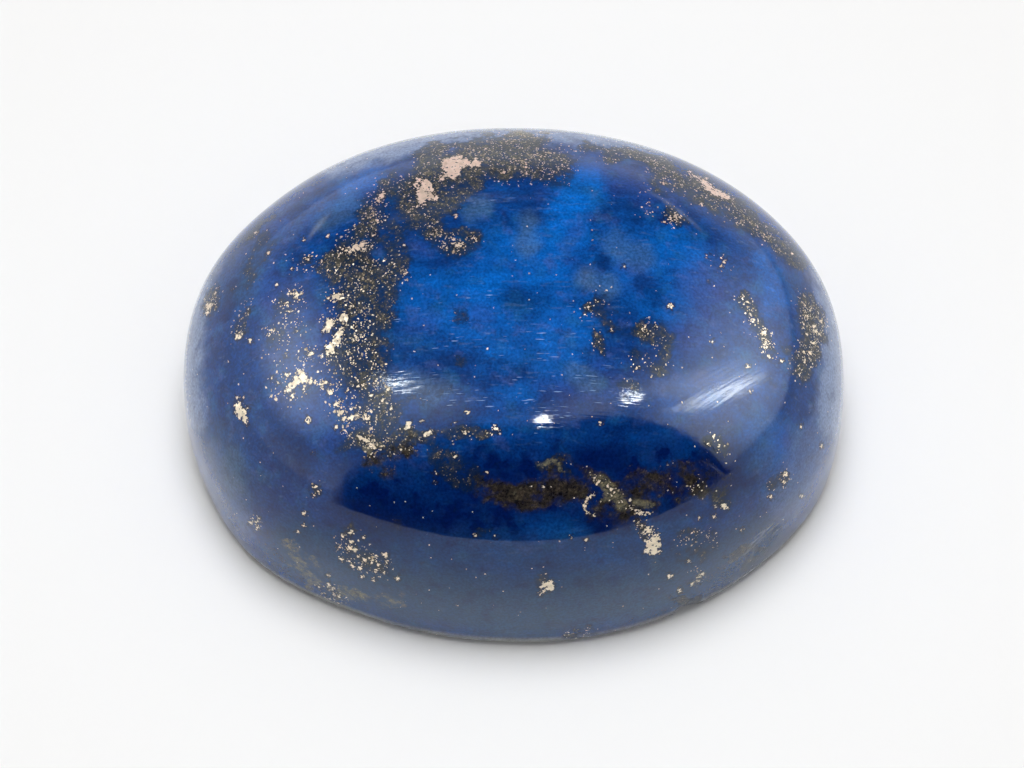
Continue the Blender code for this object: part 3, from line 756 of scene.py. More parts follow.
class StonePattern:
    """Lays the natural markings on the stone's mesh, as named attributes."""

    # How far the surface may turn from the viewpoint before a marking fades, as cosines
    HORIZON = (-0.22, 0.02)
    # What makes the markings' edges stray: hump size in metres, and reach in millimetres
    STRAYS = ((0.55 * MM, 0.14), (0.2 * MM, 0.08))
    RIGHT_SEED = 1.0
    UP_SEED = 4.0
    # Heights between which the markings fade towards the ground base
    BASE_FADE = (0.25 * MM, 0.05 * MM)
    # Clouds of matrix on the far side: hump size, seed and weight, and where they show
    FAR_CLOUDS = ((3.2 * MM, 9.0, 1.0), (1.2 * MM, 11.0, 0.5))
    FAR_RAMP = (0.25, 0.7)
    FAR_AMOUNTS = {Mineral.MATRIX: 0.75, Mineral.GRAIN: 0.5}
    FAR_RAGGED = (0.8 * MM, 13.0, 0.3)

    def __init__(self, form: CabochonForm, viewpoint: Viewpoint) -> None:
        """Keeps the form and the viewpoint that the markings are placed from."""
        self.form = form
        self.viewpoint = viewpoint

    def lay(self, stone: bpy.types.Object) -> None:
        """Works out every marking at every point and writes the attributes."""
        mesh = stone.data
        points = self.numbers(mesh.vertices, "co")
        normals = self.numbers(mesh.vertex_normals, "vector")
        toward = np.array(self.viewpoint.place()) - points
        toward /= np.linalg.norm(toward, axis=1, keepdims=True)
        facing = smooth_step(*self.HORIZON, (normals * toward).sum(axis=1))
        right, up = self.viewpoint.in_view(points)
        strayed_right = right + self.stray(points, self.RIGHT_SEED)
        strayed_up = up + self.stray(points, self.UP_SEED)
        clear = {mineral: np.ones(len(points)) for mineral in Mineral}
        for mineral, rows in MARKINGS.items():
            for row in rows:
                strength = self.along_path(strayed_right, strayed_up, *row) * facing
                clear[mineral] *= 1.0 - strength
        self.lay_far_side(points, 1.0 - facing, clear)
        under = smooth_step(*self.BASE_FADE, points[:, 2])
        for mineral, values in clear.items():
            self.write(mesh, mineral.value, (1.0 - values) * (1.0 - under))
        self.write(mesh, NUGGET_ATTRIBUTE, self.nugget_gap(right, up, facing))

    def stray(self, points: np.ndarray, seed: float) -> np.ndarray:
        """How far the markings' edges stray at each place, in millimetres."""
        (broad, broad_reach), (fine, fine_reach) = self.STRAYS
        wide = noise_at(points, broad, seed) * broad_reach
        return wide + noise_at(points, fine, seed + 1) * fine_reach

    def numbers(self, items: bpy.types.bpy_prop_collection, name: str) -> np.ndarray:
        """Reads one vector of each item as rows."""
        values = np.zeros(len(items) * 3)
        items.foreach_get(name, values)
        return values.reshape(-1, 3)

    def write(self, mesh: bpy.types.Mesh, name: str, values: np.ndarray) -> None:
        """Writes one number a point to the mesh, under a name."""
        layer = mesh.attributes.new(name, "FLOAT", "POINT")
        layer.data.foreach_set("value", values.astype(np.float32))

    def along_path(
        self,
        right: np.ndarray,
        up: np.ndarray,
        reach: float,
        amount: float,
        *path: tuple[float, float],
    ) -> np.ndarray:
        """Strength of a soft band along a path, or round its one point.

        Args:
            right, up: places seen, in millimetres.
            reach: half-width of the band.
            amount: strength at its middle.
            path: the points that it follows.

        Returns:
            The strength at each place, 0 to the amount.
        """
        away = np.hypot(right - path[0][0], up - path[0][1])
        for start, end in zip(path, path[1:]):
            run = (end[0] - start[0], end[1] - start[1])
            share = (right - start[0]) * run[0] + (up - start[1]) * run[1]
            share = np.clip(share / (run[0] ** 2 + run[1] ** 2), 0.0, 1.0)
            gap = np.hypot(right - start[0] - share * run[0], up - start[1] - share * run[1])
            away = np.minimum(away, gap)
        return amount * soft_edge(away / reach)

    def lay_far_side(
        self, points: np.ndarray, hidden: np.ndarray, clear: dict[Mineral, np.ndarray]
    ) -> None:
        """Adds the markings of the side that the picture hides.

        Args:
            points: places on the stone.
            hidden: 1 where the viewpoint can't see the stone.
            clear: share of each mineral that is still clear, changed in place.
        """
        cloud = sum(noise_at(points, size, seed) * share for size, seed, share in self.FAR_CLOUDS)
        spread = smooth_step(*self.FAR_RAMP, cloud) * hidden
        for mineral, amount in self.FAR_AMOUNTS.items():
            clear[mineral] *= 1.0 - amount * spread
        size, seed, share = self.FAR_RAGGED
        ragged = noise_at(points, size, seed) * share
        for mineral, turn, height, reach, amount in FAR_MARKINGS:
            level = np.array([height * MM])
            on_dome = height * MM > self.form.widest_height
            share = self.form.dome_share_at(level) if on_dome else self.form.wall_share(level)
            centre = self.form.place(share, np.array([turn]), level)[0]
            away = np.linalg.norm(points - centre, axis=1) / (reach * MM) + ragged
            clear[mineral] *= 1.0 - amount * soft_edge(away) * hidden

    def nugget_gap(self, right: np.ndarray, up: np.ndarray, facing: np.ndarray) -> np.ndarray:
        """Distance from each place seen to the nearest pyrite lobe's edge, in millimetres."""
        gap = np.full_like(right, 1.0)
        for lobe_right, lobe_up, radius in NUGGETS:
            away = np.hypot(right - lobe_right, up - lobe_up) - max(radius, LEAST_LOBE)
            gap = np.minimum(gap, away)
        return np.where(facing > 0.5, gap, 1.0)


class Bench:
    """Lays out the nodes of one tree and joins them."""

    def __init__(self, tree: bpy.types.NodeTree) -> None:
        """Takes an empty node tree."""
        self.tree = tree
        self.tree.nodes.clear()

    def add(self, kind: str, **settings: object) -> bpy.types.Node:
        """Adds one node of a kind, with its settings."""
        node = self.tree.nodes.new(kind)
        for name, value in settings.items():
            setattr(node, name, value)
        return node

    def feed(self, socket: bpy.types.NodeSocket, value: object) -> None:
        """Joins a socket to another one, or sets its plain value."""
        if isinstance(value, bpy.types.NodeSocket):
            self.tree.links.new(value, socket)
        else:
            socket.default_value = value

    def calc(self, operation: str, *values: object, clamp: bool = False) -> bpy.types.NodeSocket:
        """One sum of the Math node."""
        node = self.add("ShaderNodeMath", operation=operation, use_clamp=clamp)
        for socket, value in zip(node.inputs, values):
            self.feed(socket, value)
        return node.outputs[0]

    def times(self, first: object, second: object) -> bpy.types.NodeSocket:
        """One number times another."""
        return self.calc("MULTIPLY", first, second)

    def plus(self, first: object, second: object, clamp: bool = False) -> bpy.types.NodeSocket:
        """Two numbers added, and kept within 0 to 1 where clamped."""
        return self.calc("ADD", first, second, clamp=clamp)

    def scaled(
        self, value: object, factor: object, more: object, clamp: bool = False
    ) -> bpy.types.NodeSocket:
        """A number times a factor and more added, kept within 0 to 1 where clamped."""
        return self.calc("MULTIPLY_ADD", value, factor, more, clamp=clamp)

    def vector(self, operation: str, *values: object) -> bpy.types.NodeSocket:
        """One sum of the Vector Math node."""
        node = self.add("ShaderNodeVectorMath", operation=operation)
        for socket, value in zip(node.inputs, values):
            self.feed(socket, value)
        return node.outputs["Vector"]

    def centred(self, colour: object) -> bpy.types.NodeSocket:
        """A random colour as a vector, each part from -0.5 to 0.5."""
        return self.vector("SUBTRACT", colour, (0.5, 0.5, 0.5))

    def ease(
        self, value: object, low: object, high: object, start: float = 0.0, end: float = 1.0
    ) -> bpy.types.NodeSocket:
        """Smooth ramp from start at low to end at high."""
        node = self.add("ShaderNodeMapRange", interpolation_type="SMOOTHSTEP")
        for name, part in (("Value", value), ("From Min", low), ("From Max", high)):
            self.feed(node.inputs[name], part)
        node.inputs["To Min"].default_value = start
        node.inputs["To Max"].default_value = end
        return node.outputs[0]

    def blend(
        self, share: object, first: object, second: object, mode: str = "MIX"
    ) -> bpy.types.NodeSocket:
        """Mixes two colours by a share."""
        node = self.add("ShaderNodeMix", data_type="RGBA", blend_type=mode, clamp_factor=True)
        self.feed(node.inputs[0], share)
        self.feed(node.inputs[6], first)
        self.feed(node.inputs[7], second)
        return node.outputs[2]

    def shaded(self, colour: object, shade: object) -> bpy.types.NodeSocket:
        """A colour times a shade."""
        return self.blend(1.0, colour, shade, "MULTIPLY")

    def choose(self, share: object, first: object, second: object) -> bpy.types.NodeSocket:
        """The second number where share is 1, and the first where it is 0."""
        node = self.add("ShaderNodeMix", data_type="FLOAT")
        self.feed(node.inputs[0], share)
        self.feed(node.inputs[2], first)
        self.feed(node.inputs[3], second)
        return node.outputs[0]

    def mineral(self, mineral: Mineral) -> bpy.types.NodeSocket:
        """Reads how much of a mineral is laid at this place."""
        return self.add("ShaderNodeAttribute", attribute_name=mineral.value).outputs["Fac"]

    def cloud(self, place: object, size: float, detail: float = 3.0) -> bpy.types.NodeSocket:
        """Soft noise with humps of a size in millimetres."""
        node = self.add("ShaderNodeTexNoise")
        self.feed(node.inputs["Vector"], place)
        node.inputs["Scale"].default_value = 1.0 / size
        node.inputs["Detail"].default_value = detail
        return node.outputs["Fac"]

    def cells(self, place: object, size: float) -> bpy.types.Node:
        """Random cells of a size in millimetres, each with its own random colour."""
        node = self.add("ShaderNodeTexVoronoi", feature="F1")
        self.feed(node.inputs["Vector"], place)
        node.inputs["Scale"].default_value = 1.0 / size
        return node

    def parts(self, colour: object) -> tuple[bpy.types.NodeSocket, ...]:
        """The three parts of a colour or vector."""
        node = self.add("ShaderNodeSeparateXYZ")
        self.feed(node.inputs[0], colour)
        return tuple(node.outputs)

    def tones(self, share: object, *stops: tuple[float, tuple]) -> bpy.types.NodeSocket:
        """A run of colours, read at a share.

        Args:
            share: where the run is read, 0 to 1.
            stops: place and colour of each stop, in rising order.

        Returns:
            The colour at the share.
        """
        node = self.add("ShaderNodeValToRGB")
        elements = node.color_ramp.elements
        while len(elements) < len(stops):
            elements.new(0.5)
        for element, (position, colour) in zip(elements, stops):
            element.position = position
            element.color = colour
        self.feed(node.inputs[0], share)
        return node.outputs["Color"]

    def show(self, output: str, shader: bpy.types.Node) -> None:
        """Joins a shader to a new output node of a kind."""
        self.feed(self.add(output).inputs["Surface"], shader.outputs[0])


def bare_material(name: str) -> tuple[bpy.types.Material, Bench]:
    """A new material of a name, and the bench of its emptied node tree."""
    finish = bpy.data.materials.new(name)
    finish.use_nodes = True
    return finish, Bench(finish.node_tree)


@dataclass(frozen=True)
class Pyrite:
    """Where pyrite shows, the dark rim round its pieces, and its colour."""

    share: bpy.types.NodeSocket
    rim: bpy.types.NodeSocket
    colour: bpy.types.NodeSocket


@dataclass(frozen=True)
class LapisFinish:
    """Polished lapis lazuli: blue rock, speckled grey matrix and pyrite."""

    deep_blue: tuple = linear(8, 55, 121)
    azure: tuple = linear(5, 96, 186)
    violet: tuple = linear(62, 78, 156)
    # Pale blue, and the painted reflection along the rims
    pale: tuple = linear(124, 144, 184)
    lavender: tuple = linear(76, 92, 150)
    teal: tuple = linear(34, 96, 146)
    # Deep blue, and the painted shade along the front shoulder
    deep_blue_and_shade: tuple = linear(1, 22, 76)
    milky: tuple = linear(84, 116, 138)
    # Grey-blue, and the painted reflection of the table on the lower wall
    slate_and_reflection: tuple = linear(33, 75, 108)
    # Pale line just above the base: a painted highlight
    pale_edge_highlight: tuple = linear(136, 134, 124)
    halo: tuple = linear(12, 44, 84)
    matrix_dark: tuple = linear(26, 32, 44)
    matrix_grey: tuple = linear(48, 55, 62)
    matrix_olive: tuple = linear(76, 74, 66)
    matrix_tan: tuple = linear(132, 120, 98)
    speck: tuple = linear(206, 186, 150)
    brown_dark: tuple = linear(16, 15, 17)
    brown: tuple = linear(48, 42, 34)
    brown_light: tuple = linear(84, 74, 58)
    khaki_dark: tuple = linear(84, 88, 86)
    khaki: tuple = linear(140, 132, 102)
    pyrite_cream_and_reflection: tuple = linear(240, 226, 202)
    pyrite_rose: tuple = linear(234, 206, 192)
    pyrite_dull: tuple = linear(150, 130, 100)
    pyrite_rim: tuple = linear(32, 32, 36)
    # Pale blue of the painted glints along the polishing lines
    scratch_and_glint: tuple = linear(150, 186, 228)
    # Sizes of the random cells in millimetres: dust, grains and coarse grains
    grain_sizes: tuple[float, float, float] = (0.045, 0.075, 0.15)
    # Humps per millimetre of what makes the cells' edges uneven, and its reach
    jitter_scale: float = 9.0
    jitter: float = 0.09
    # Shifts to other parts of the noise, and how the drawn-out clouds are squeezed
    second_part: tuple = (31.0, 12.0, 7.0)
    third_part: tuple = (-14.0, 27.0, 3.0)
    drawn_out: tuple = (0.6, 2.4, 1.6)
    # Heights in millimetres between which the painted highlight line above the base comes in
    edge_highlight_heights: tuple[float, float] = (0.74, 0.4)
    scratch_size: tuple[float, float, float] = (0.5, 0.035, 0.2)
    metal: float = 0.35
    polish: float = 0.05
    glass_index: float = 1.5
    mirror_level: float = 0.42
    mirror_tint: tuple = (0.90, 0.98, 1.0, 1.0)
    relief_depth: float = 0.003 * MM
    brushed_turn: float = -38.0
    grain_lean: float = 0.5

    def material(self) -> bpy.types.Material:
        """Builds the stone's one material."""
        finish, bench = bare_material("polished_blue_rock")
        coordinates = bench.add("ShaderNodeTexCoord").outputs["Object"]
        place = bench.vector("MULTIPLY", coordinates, (1.0 / MM,) * 3)
        wander = bench.add("ShaderNodeTexNoise")
        bench.feed(wander.inputs["Vector"], place)
        wander.inputs["Scale"].default_value = self.jitter_scale
        drift = bench.vector("MULTIPLY", bench.centred(wander.outputs["Color"]), (self.jitter,) * 3)
        uneven = bench.vector("ADD", place, drift)
        grains = tuple(bench.cells(uneven, size) for size in self.grain_sizes)
        body = self.blue_rock(bench, place)
        ground, ground_share = self.matrix(bench, place, grains, body)
        pyrite = self.pyrite(bench, place, grains)
        colour = bench.blend(pyrite.rim, ground, self.pyrite_rim)
        colour = bench.blend(pyrite.share, colour, pyrite.colour)
        # Painted glints along the polishing lines
        colour = bench.blend(self.scratch_glints(bench, place), colour, self.scratch_and_glint)
        shader = bench.add("ShaderNodeBsdfPrincipled")
        for name, value in (
            ("Base Color", colour),
            ("Metallic", bench.times(pyrite.share, self.metal)),
            ("Roughness", self.roughness(bench, place, ground_share, pyrite.share)),
            ("Normal", self.surface(bench, place, grains, pyrite.share)),
        ):
            bench.feed(shader.inputs[name], value)
        shader.inputs["IOR"].default_value = self.glass_index
        shader.inputs["Specular IOR Level"].default_value = self.mirror_level
        shader.inputs["Specular Tint"].default_value = self.mirror_tint
        bench.show("ShaderNodeOutputMaterial", shader)
        return finish

    def blue_rock(self, bench: Bench, place: bpy.types.NodeSocket) -> bpy.types.NodeSocket:
        """Colour of the blue body: clouds of azure, violet, teal and deep blue, finely grained,
        with painted reflections, painted shade and a painted highlight line laid on it.
        """
        second = bench.vector("ADD", place, self.second_part)
        third = bench.vector("ADD", place, self.third_part)
        drawn = bench.vector("MULTIPLY", third, self.drawn_out)
        banks = bench.cloud(place, 2.2, 4.0)
        veils = bench.cloud(drawn, 0.3, 3.0)
        broad = bench.scaled(banks, 0.8, -0.3)
        middle = bench.scaled(bench.cloud(place, 0.5, 5.0), 1.1, -0.55)
        azure = bench.plus(bench.mineral(Mineral.AZURE), broad)
        azure = bench.plus(azure, middle, clamp=True)
        colour = bench.blend(azure, self.deep_blue, self.azure)
        shade = bench.ease(bench.cloud(drawn, 0.8, 5.0), 0.3, 0.7, 0.84, 1.16)
        colour = bench.shaded(colour, shade)
        for tone, cloud, low, most, mineral, laid in (
            (self.teal, bench.cloud(third, 0.75, 5.0), 0.52, 0.45, None, 0.0),
            (self.lavender, bench.cloud(second, 0.55, 5.0), 0.54, 0.34, None, 0.0),
            (self.violet, bench.cloud(second, 1.6, 4.0), 0.52, 0.2, Mineral.VIOLET, 0.34),
            (self.milky, veils, 0.56, 0.14, Mineral.MILKY, 0.9),
            # Pale at random, and laid along the rims as a painted reflection
            (self.pale, veils, 0.58, 0.08, Mineral.PAINTED_RIM_REFLECTION, 1.0),
            # Grey-blue at random, and laid as a painted reflection of the table on the lower wall
            (self.slate_and_reflection, banks, 0.58, 0.25, Mineral.SLATE_AND_REFLECTION, 1.0),
            # Deep blue at random and where laid, and painted shade along the front shoulder
            (self.deep_blue_and_shade, bench.cloud(third, 0.6, 5.0), 0.52, 0.3, Mineral.DEEP_BLUE_AND_SHADE, 1.0),
        ):
            share = bench.ease(cloud, low, low + 0.2, 0.0, most)
            if mineral is not None:
                share = bench.scaled(bench.mineral(mineral), laid, share)
            colour = bench.blend(share, colour, tone)
        # The ground base and a painted highlight line just above its edge
        worn = bench.ease(bench.parts(place)[2], *self.edge_highlight_heights)
        worn = bench.times(worn, bench.ease(banks, 0.35, 0.6, 0.4, 0.8))
        colour = bench.blend(worn, colour, self.pale_edge_highlight)
        shade = bench.ease(bench.cloud(place, 0.08, 3.0), 0.25, 0.75, 0.72, 1.28)
        return bench.shaded(colour, shade)

    def matrix(
        self,
        bench: Bench,
        place: bpy.types.NodeSocket,
        grains: tuple[bpy.types.Node, ...],
        body: bpy.types.NodeSocket,
    ) -> tuple[bpy.types.NodeSocket, bpy.types.NodeSocket]:
        """Lays the granular matrix, the brown veins and khaki patches over the blue body.

        Args:
            bench: the bench of this material.
            place: the place on the stone in millimetres.
            grains: the cells of the dust, the grains and the coarse grains.
            body: colour of the blue rock.

        Returns:
            The colour and the share of the surface that is matrix.
        """
        dust = bench.parts(grains[0].outputs["Color"])
        chance = bench.parts(grains[1].outputs["Color"])
        lumps = bench.parts(grains[2].outputs["Color"])
        edge = bench.scaled(bench.cloud(place, 0.5, 6.0), 2.2, -1.16)
        for roll, spread in ((lumps[1], 0.24), (chance[0], 0.2)):
            edge = bench.plus(edge, bench.scaled(roll, spread, -spread / 2.0))
        laid = bench.plus(bench.mineral(Mineral.MATRIX), bench.mineral(Mineral.BROWN))
        laid = bench.plus(laid, bench.mineral(Mineral.KHAKI))
        edge = bench.times(edge, bench.ease(laid, 0.0, 0.45, 0.55, 1.0))
        # Painted shade: the matrix and its halo are darker where the deep blue marks lie, most
        # along the front shoulder
        deep_and_shade_dimming = bench.scaled(bench.mineral(Mineral.DEEP_BLUE_AND_SHADE), -0.55, 1.0)
        mottled = bench.times(bench.cloud(place, 0.2, 4.0), 0.7)
        for roll in (chance[2], dust[0]):
            mottled = bench.scaled(roll, 0.2, mottled)
        grainy = bench.ease(mottled, 0.38, 0.58, 0.5, 1.0)
        grey = bench.tones(
            mottled,
            (0.3, self.matrix_dark),
            (0.52, self.matrix_grey),
            (0.7, self.matrix_olive),
            (0.88, self.matrix_tan),
        )
        brown = bench.tones(
            mottled, (0.34, self.brown_dark), (0.62, self.brown), (0.84, self.brown_light)
        )
        khaki = bench.tones(mottled, (0.35, self.khaki_dark), (0.7, self.khaki))
        near = bench.plus(bench.mineral(Mineral.MATRIX), edge)
        halo = bench.shaded(self.halo, deep_and_shade_dimming)
        colour = bench.blend(bench.ease(near, 0.05, 0.5, 0.0, 0.75), body, halo)
        total = None
        for mineral, tone, low, high, most in (
            (Mineral.MATRIX, grey, 0.18, 1.02, 0.92),
            (Mineral.BROWN, brown, 0.2, 1.0, 0.97),
            (Mineral.KHAKI, khaki, 0.25, 0.95, 0.72),
        ):
            amount = bench.plus(bench.mineral(mineral), edge)
            share = bench.ease(amount, low, high, 0.0, most)
            if mineral is not Mineral.BROWN:
                share = bench.times(share, grainy)
            if mineral is Mineral.MATRIX:
                tone = bench.shaded(tone, deep_and_shade_dimming)
            colour = bench.blend(share, colour, tone)
            total = share if total is None else bench.calc("MAXIMUM", total, share)
        pick = bench.calc("LESS_THAN", dust[1], bench.times(total, 0.26))
        spot = bench.ease(grains[0].outputs["Distance"], 0.6, 0.3, 0.0, 0.72)
        quiet = bench.scaled(bench.mineral(Mineral.BROWN), -0.8, deep_and_shade_dimming, clamp=True)
        spot = bench.times(bench.times(spot, quiet), pick)
        return bench.blend(spot, colour, bench.blend(dust[2], self.matrix_tan, self.speck)), total

    def pyrite(
        self, bench: Bench, place: bpy.types.NodeSocket, grains: tuple[bpy.types.Node, ...]
    ) -> Pyrite:
        """Lays the pyrite: dust, grains, coarse grains and the solid pieces.

        Args:
            bench: the bench of this material.
            place: the place on the stone in millimetres.
            grains: the cells of the dust, the grains and the coarse grains.

        Returns:
            Where pyrite shows, the dark rim round its pieces, and its colour.
        """
        clusters = bench.ease(bench.cloud(place, 0.3, 3.0), 0.36, 0.64, 0.2, 1.35)
        rough = bench.times(bench.mineral(Mineral.COARSE), clusters)
        either = bench.scaled(bench.mineral(Mineral.GRAIN), clusters, rough)
        jagged = bench.scaled(bench.cloud(place, 0.05, 3.0), 0.5, -0.25)
        share = None
        for cells, amount, most, least, reach in (
            (grains[0], either, 0.16, 0.0018, 0.52),
            (grains[1], either, 0.12, 0.0007, 0.44),
            (grains[2], rough, 0.30, 0.0, 0.36),
        ):
            chance = bench.parts(cells.outputs["Color"])
            pick = bench.calc("LESS_THAN", chance[1], bench.scaled(amount, most, least))
            gap = bench.plus(cells.outputs["Distance"], jagged)
            gap = bench.scaled(chance[0], 0.16, gap)
            spot = bench.times(bench.ease(gap, reach + 0.1, reach - 0.06), pick)
            share = spot if share is None else bench.calc("MAXIMUM", share, spot)
        ragged = bench.scaled(bench.cloud(place, 0.08, 4.0), 0.26, -0.125)
        nugget = bench.add("ShaderNodeAttribute", attribute_name=NUGGET_ATTRIBUTE)
        gap = bench.plus(nugget.outputs["Fac"], ragged)
        pits = bench.ease(bench.cloud(place, 0.12, 2.0), 0.63, 0.67)
        whole = bench.calc("SUBTRACT", 1.0, pits)
        solid = bench.times(bench.ease(gap, 0.012, -0.012), whole)
        rim = bench.ease(gap, 0.09, 0.02, 0.0, 0.6)
        dull = bench.ease(bench.parts(grains[1].outputs["Color"])[2], 0.35, 1.0, 0.0, 0.9)
        tarnish = bench.ease(bench.cloud(place, 0.2, 3.0), 0.45, 0.7, 0.0, 0.3)
        dull = bench.choose(solid, dull, tarnish)
        # Creamier towards the front, rosier towards the back: the cream is partly a painted
        # reflection of the soft box in the near grains
        far = bench.ease(bench.parts(place)[1], -1.0, 4.0)
        tone = bench.blend(far, self.pyrite_cream_and_reflection, self.pyrite_rose)
        tone = bench.blend(dull, tone, self.pyrite_dull)
        return Pyrite(bench.calc("MAXIMUM", share, solid), rim, tone)

    def scratch_glints(self, bench: Bench, place: bpy.types.NodeSocket) -> bpy.types.NodeSocket:
        """Short fine lines along the stone, as the polishing left them, painted as pale glints."""
        squeeze = tuple(1.0 / size for size in self.scratch_size)
        stretched = bench.vector("MULTIPLY", place, squeeze)
        laid = bench.mineral(Mineral.SCRATCH_AND_GLINT)
        low = bench.scaled(laid, -0.19, 0.8)
        high = bench.plus(low, 0.07)
        dash = bench.ease(bench.cloud(stretched, 1.0, 1.0), low, high)
        return bench.times(dash, bench.ease(laid, 0.0, 0.4, 0.0, 0.8))

    def roughness(
        self,
        bench: Bench,
        place: bpy.types.NodeSocket,
        ground_share: bpy.types.NodeSocket,
        pyrite_share: bpy.types.NodeSocket,
    ) -> bpy.types.NodeSocket:
        """High polish on the blue, a little duller on matrix and on pyrite."""
        level = bench.scaled(bench.cloud(place, 0.8, 3.0), 0.05, self.polish - 0.02)
        for share, duller in (
            (ground_share, 0.08),
            (pyrite_share, 0.25),
            (bench.mineral(Mineral.BRUSHED), 0.09),
        ):
            level = bench.scaled(share, duller, level)
        height = bench.parts(place)[2]
        return bench.plus(level, bench.ease(height, 0.30, 0.05, 0.0, 0.35))

    def surface(
        self,
        bench: Bench,
        place: bpy.types.NodeSocket,
        grains: tuple[bpy.types.Node, ...],
        pyrite_share: bpy.types.NodeSocket,
    ) -> bpy.types.NodeSocket:
        """Surface direction: a faint ripple, grinding lines, sunken matrix, tilted grains."""
        along = bench.cloud(bench.vector("MULTIPLY", place, (0.9, 14.0, 4.0)), 1.0, 2.0)
        turned = bench.add("ShaderNodeVectorRotate", rotation_type="Z_AXIS")
        bench.feed(turned.inputs["Vector"], place)
        turned.inputs["Angle"].default_value = math.radians(self.brushed_turn)
        aslant = bench.cloud(bench.vector("MULTIPLY", turned.outputs[0], (0.6, 9.0, 3.0)), 1.0, 2.0)
        laid = bench.plus(bench.mineral(Mineral.MATRIX), bench.mineral(Mineral.BROWN))
        laid = bench.ease(laid, 0.3, 0.8)
        relief = bench.scaled(laid, -0.35, bench.cloud(place, 0.45, 2.0))
        rough = bench.times(bench.cloud(place, 0.07, 2.0), laid)
        relief = bench.scaled(rough, 2.0, relief)
        depth = bench.scaled(bench.mineral(Mineral.SCRATCH_AND_GLINT), 2.0, 0.12)
        relief = bench.scaled(along, depth, relief)
        depth = bench.times(bench.mineral(Mineral.BRUSHED), 1.8)
        relief = bench.scaled(aslant, depth, relief)
        bump = bench.add("ShaderNodeBump")
        bump.inputs["Strength"].default_value = 1.0
        bump.inputs["Distance"].default_value = self.relief_depth
        bench.feed(bump.inputs["Height"], relief)
        lean = bench.centred(grains[1].outputs["Color"])
        lean = bench.vector("MULTIPLY", lean, (self.grain_lean,) * 3)
        shares = bench.add("ShaderNodeCombineXYZ")
        for socket in shares.inputs:
            bench.feed(socket, pyrite_share)
        lean = bench.vector("MULTIPLY", lean, shares.outputs[0])
        return bench.vector("NORMALIZE", bench.vector("ADD", bump.outputs[0], lean))


@dataclass
class PolishedStone:
    """The cabochon as it is seen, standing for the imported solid."""

    form: CabochonForm
    viewpoint: Viewpoint
    finish: LapisFinish = field(default_factory=LapisFinish)

    def build(self) -> bpy.types.Object:
        """Models the stone, lays its markings and dresses it."""
        stone = self.form.blank()
        self.form.shape(stone)
        deselect_all()
        stone.select_set(True)
        bpy.context.view_layer.objects.active = stone
        bpy.ops.object.shade_smooth_by_angle(angle=math.radians(35.0))
        StonePattern(self.form, self.viewpoint).lay(stone)
        stone.data.materials.append(self.finish.material())
        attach(stone, STONE_BODY)
        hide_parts(STONE_NODE)
        return stone


@dataclass
class PaleTable:
    """The plain pale table that the stone rests on."""

    half_side: float = 600.0 * MM
    # Painted pool of light: palest round the stone, fading to the plain far tone between the two
    # distances below
    pale: tuple = (0.95, 0.95, 0.95, 1.0)
    away: tuple = (0.92, 0.915, 0.91, 1.0)
    unlit: tuple = (0.0, 0.0, 0.0, 1.0)
    light_pool_reach: tuple[float, float] = (9.0 * MM, 24.0 * MM)
    # The mirrored front end: how near it starts, how it slants and how dark it is, and
    # the two sides that it ends at, as distance across over distance nearer
    mirrored_end: float = 45.0 * MM
    end_blur: float = 3.0 * MM
    end_slant: float = -0.3
    end_dark: float = 0.97
    end_left: tuple[float, float] = (-0.84, -0.74)
    end_right: tuple[float, float] = (1.76, 1.5)

    def build(self) -> bpy.types.Object:
        """Adds the table top, level with the stone's base."""
        deselect_all()
        bpy.ops.mesh.primitive_grid_add(
            x_subdivisions=8, y_subdivisions=8, size=2.0 * self.half_side
        )
        table = bpy.context.object
        table.name = "pale_table"
        table.data.materials.append(self.material())
        return table

    def material(self) -> bpy.types.Material:
        """Pale matt sheet, with a painted pool of light that makes it palest round the stone."""
        finish, bench = bare_material("pale_sheet")
        place = bench.add("ShaderNodeTexCoord").outputs["Object"]
        length = bench.add("ShaderNodeVectorMath", operation="LENGTH")
        bench.feed(length.inputs[0], place)
        # Painted pool of light round the stone
        far = bench.ease(length.outputs["Value"], *self.light_pool_reach)
        colour = bench.blend(far, self.pale, self.away)
        # The polish mirrors the sheet's unlit front end, which lies outside the picture
        across, away, _ = bench.parts(place)
        nearer = bench.times(away, -1.0)
        end = bench.scaled(across, self.end_slant, nearer)
        start = self.mirrored_end - self.end_blur
        end = bench.ease(end, start, self.mirrored_end, 0.0, self.end_dark)
        turn = bench.calc("DIVIDE", across, nearer)
        for side in (self.end_left, self.end_right):
            end = bench.times(end, bench.ease(turn, *side))
        glossy = bench.add("ShaderNodeLightPath").outputs["Is Glossy Ray"]
        colour = bench.blend(bench.times(end, glossy), colour, self.unlit)
        shader = bench.add("ShaderNodeBsdfPrincipled")
        bench.feed(shader.inputs["Base Color"], colour)
        shader.inputs["Roughness"].default_value = 0.6
        shader.inputs["Specular IOR Level"].default_value = 0.0
        bench.show("ShaderNodeOutputMaterial", shader)
        return finish


@dataclass(frozen=True)
class SoftPanel:
    """A patch of the studio, by compass and elevation in degrees, as the stone mirrors it.

    Azimuth 0 is towards the camera and 90 to the right. The patch is oval with no
    squarings, and nearer to a rectangle with each one.
    """

    azimuth: float
    elevation: float
    reach: tuple[float, float]
    softness: float
    glow: float
    tilt: float = 0.0
    squarings: int = 0


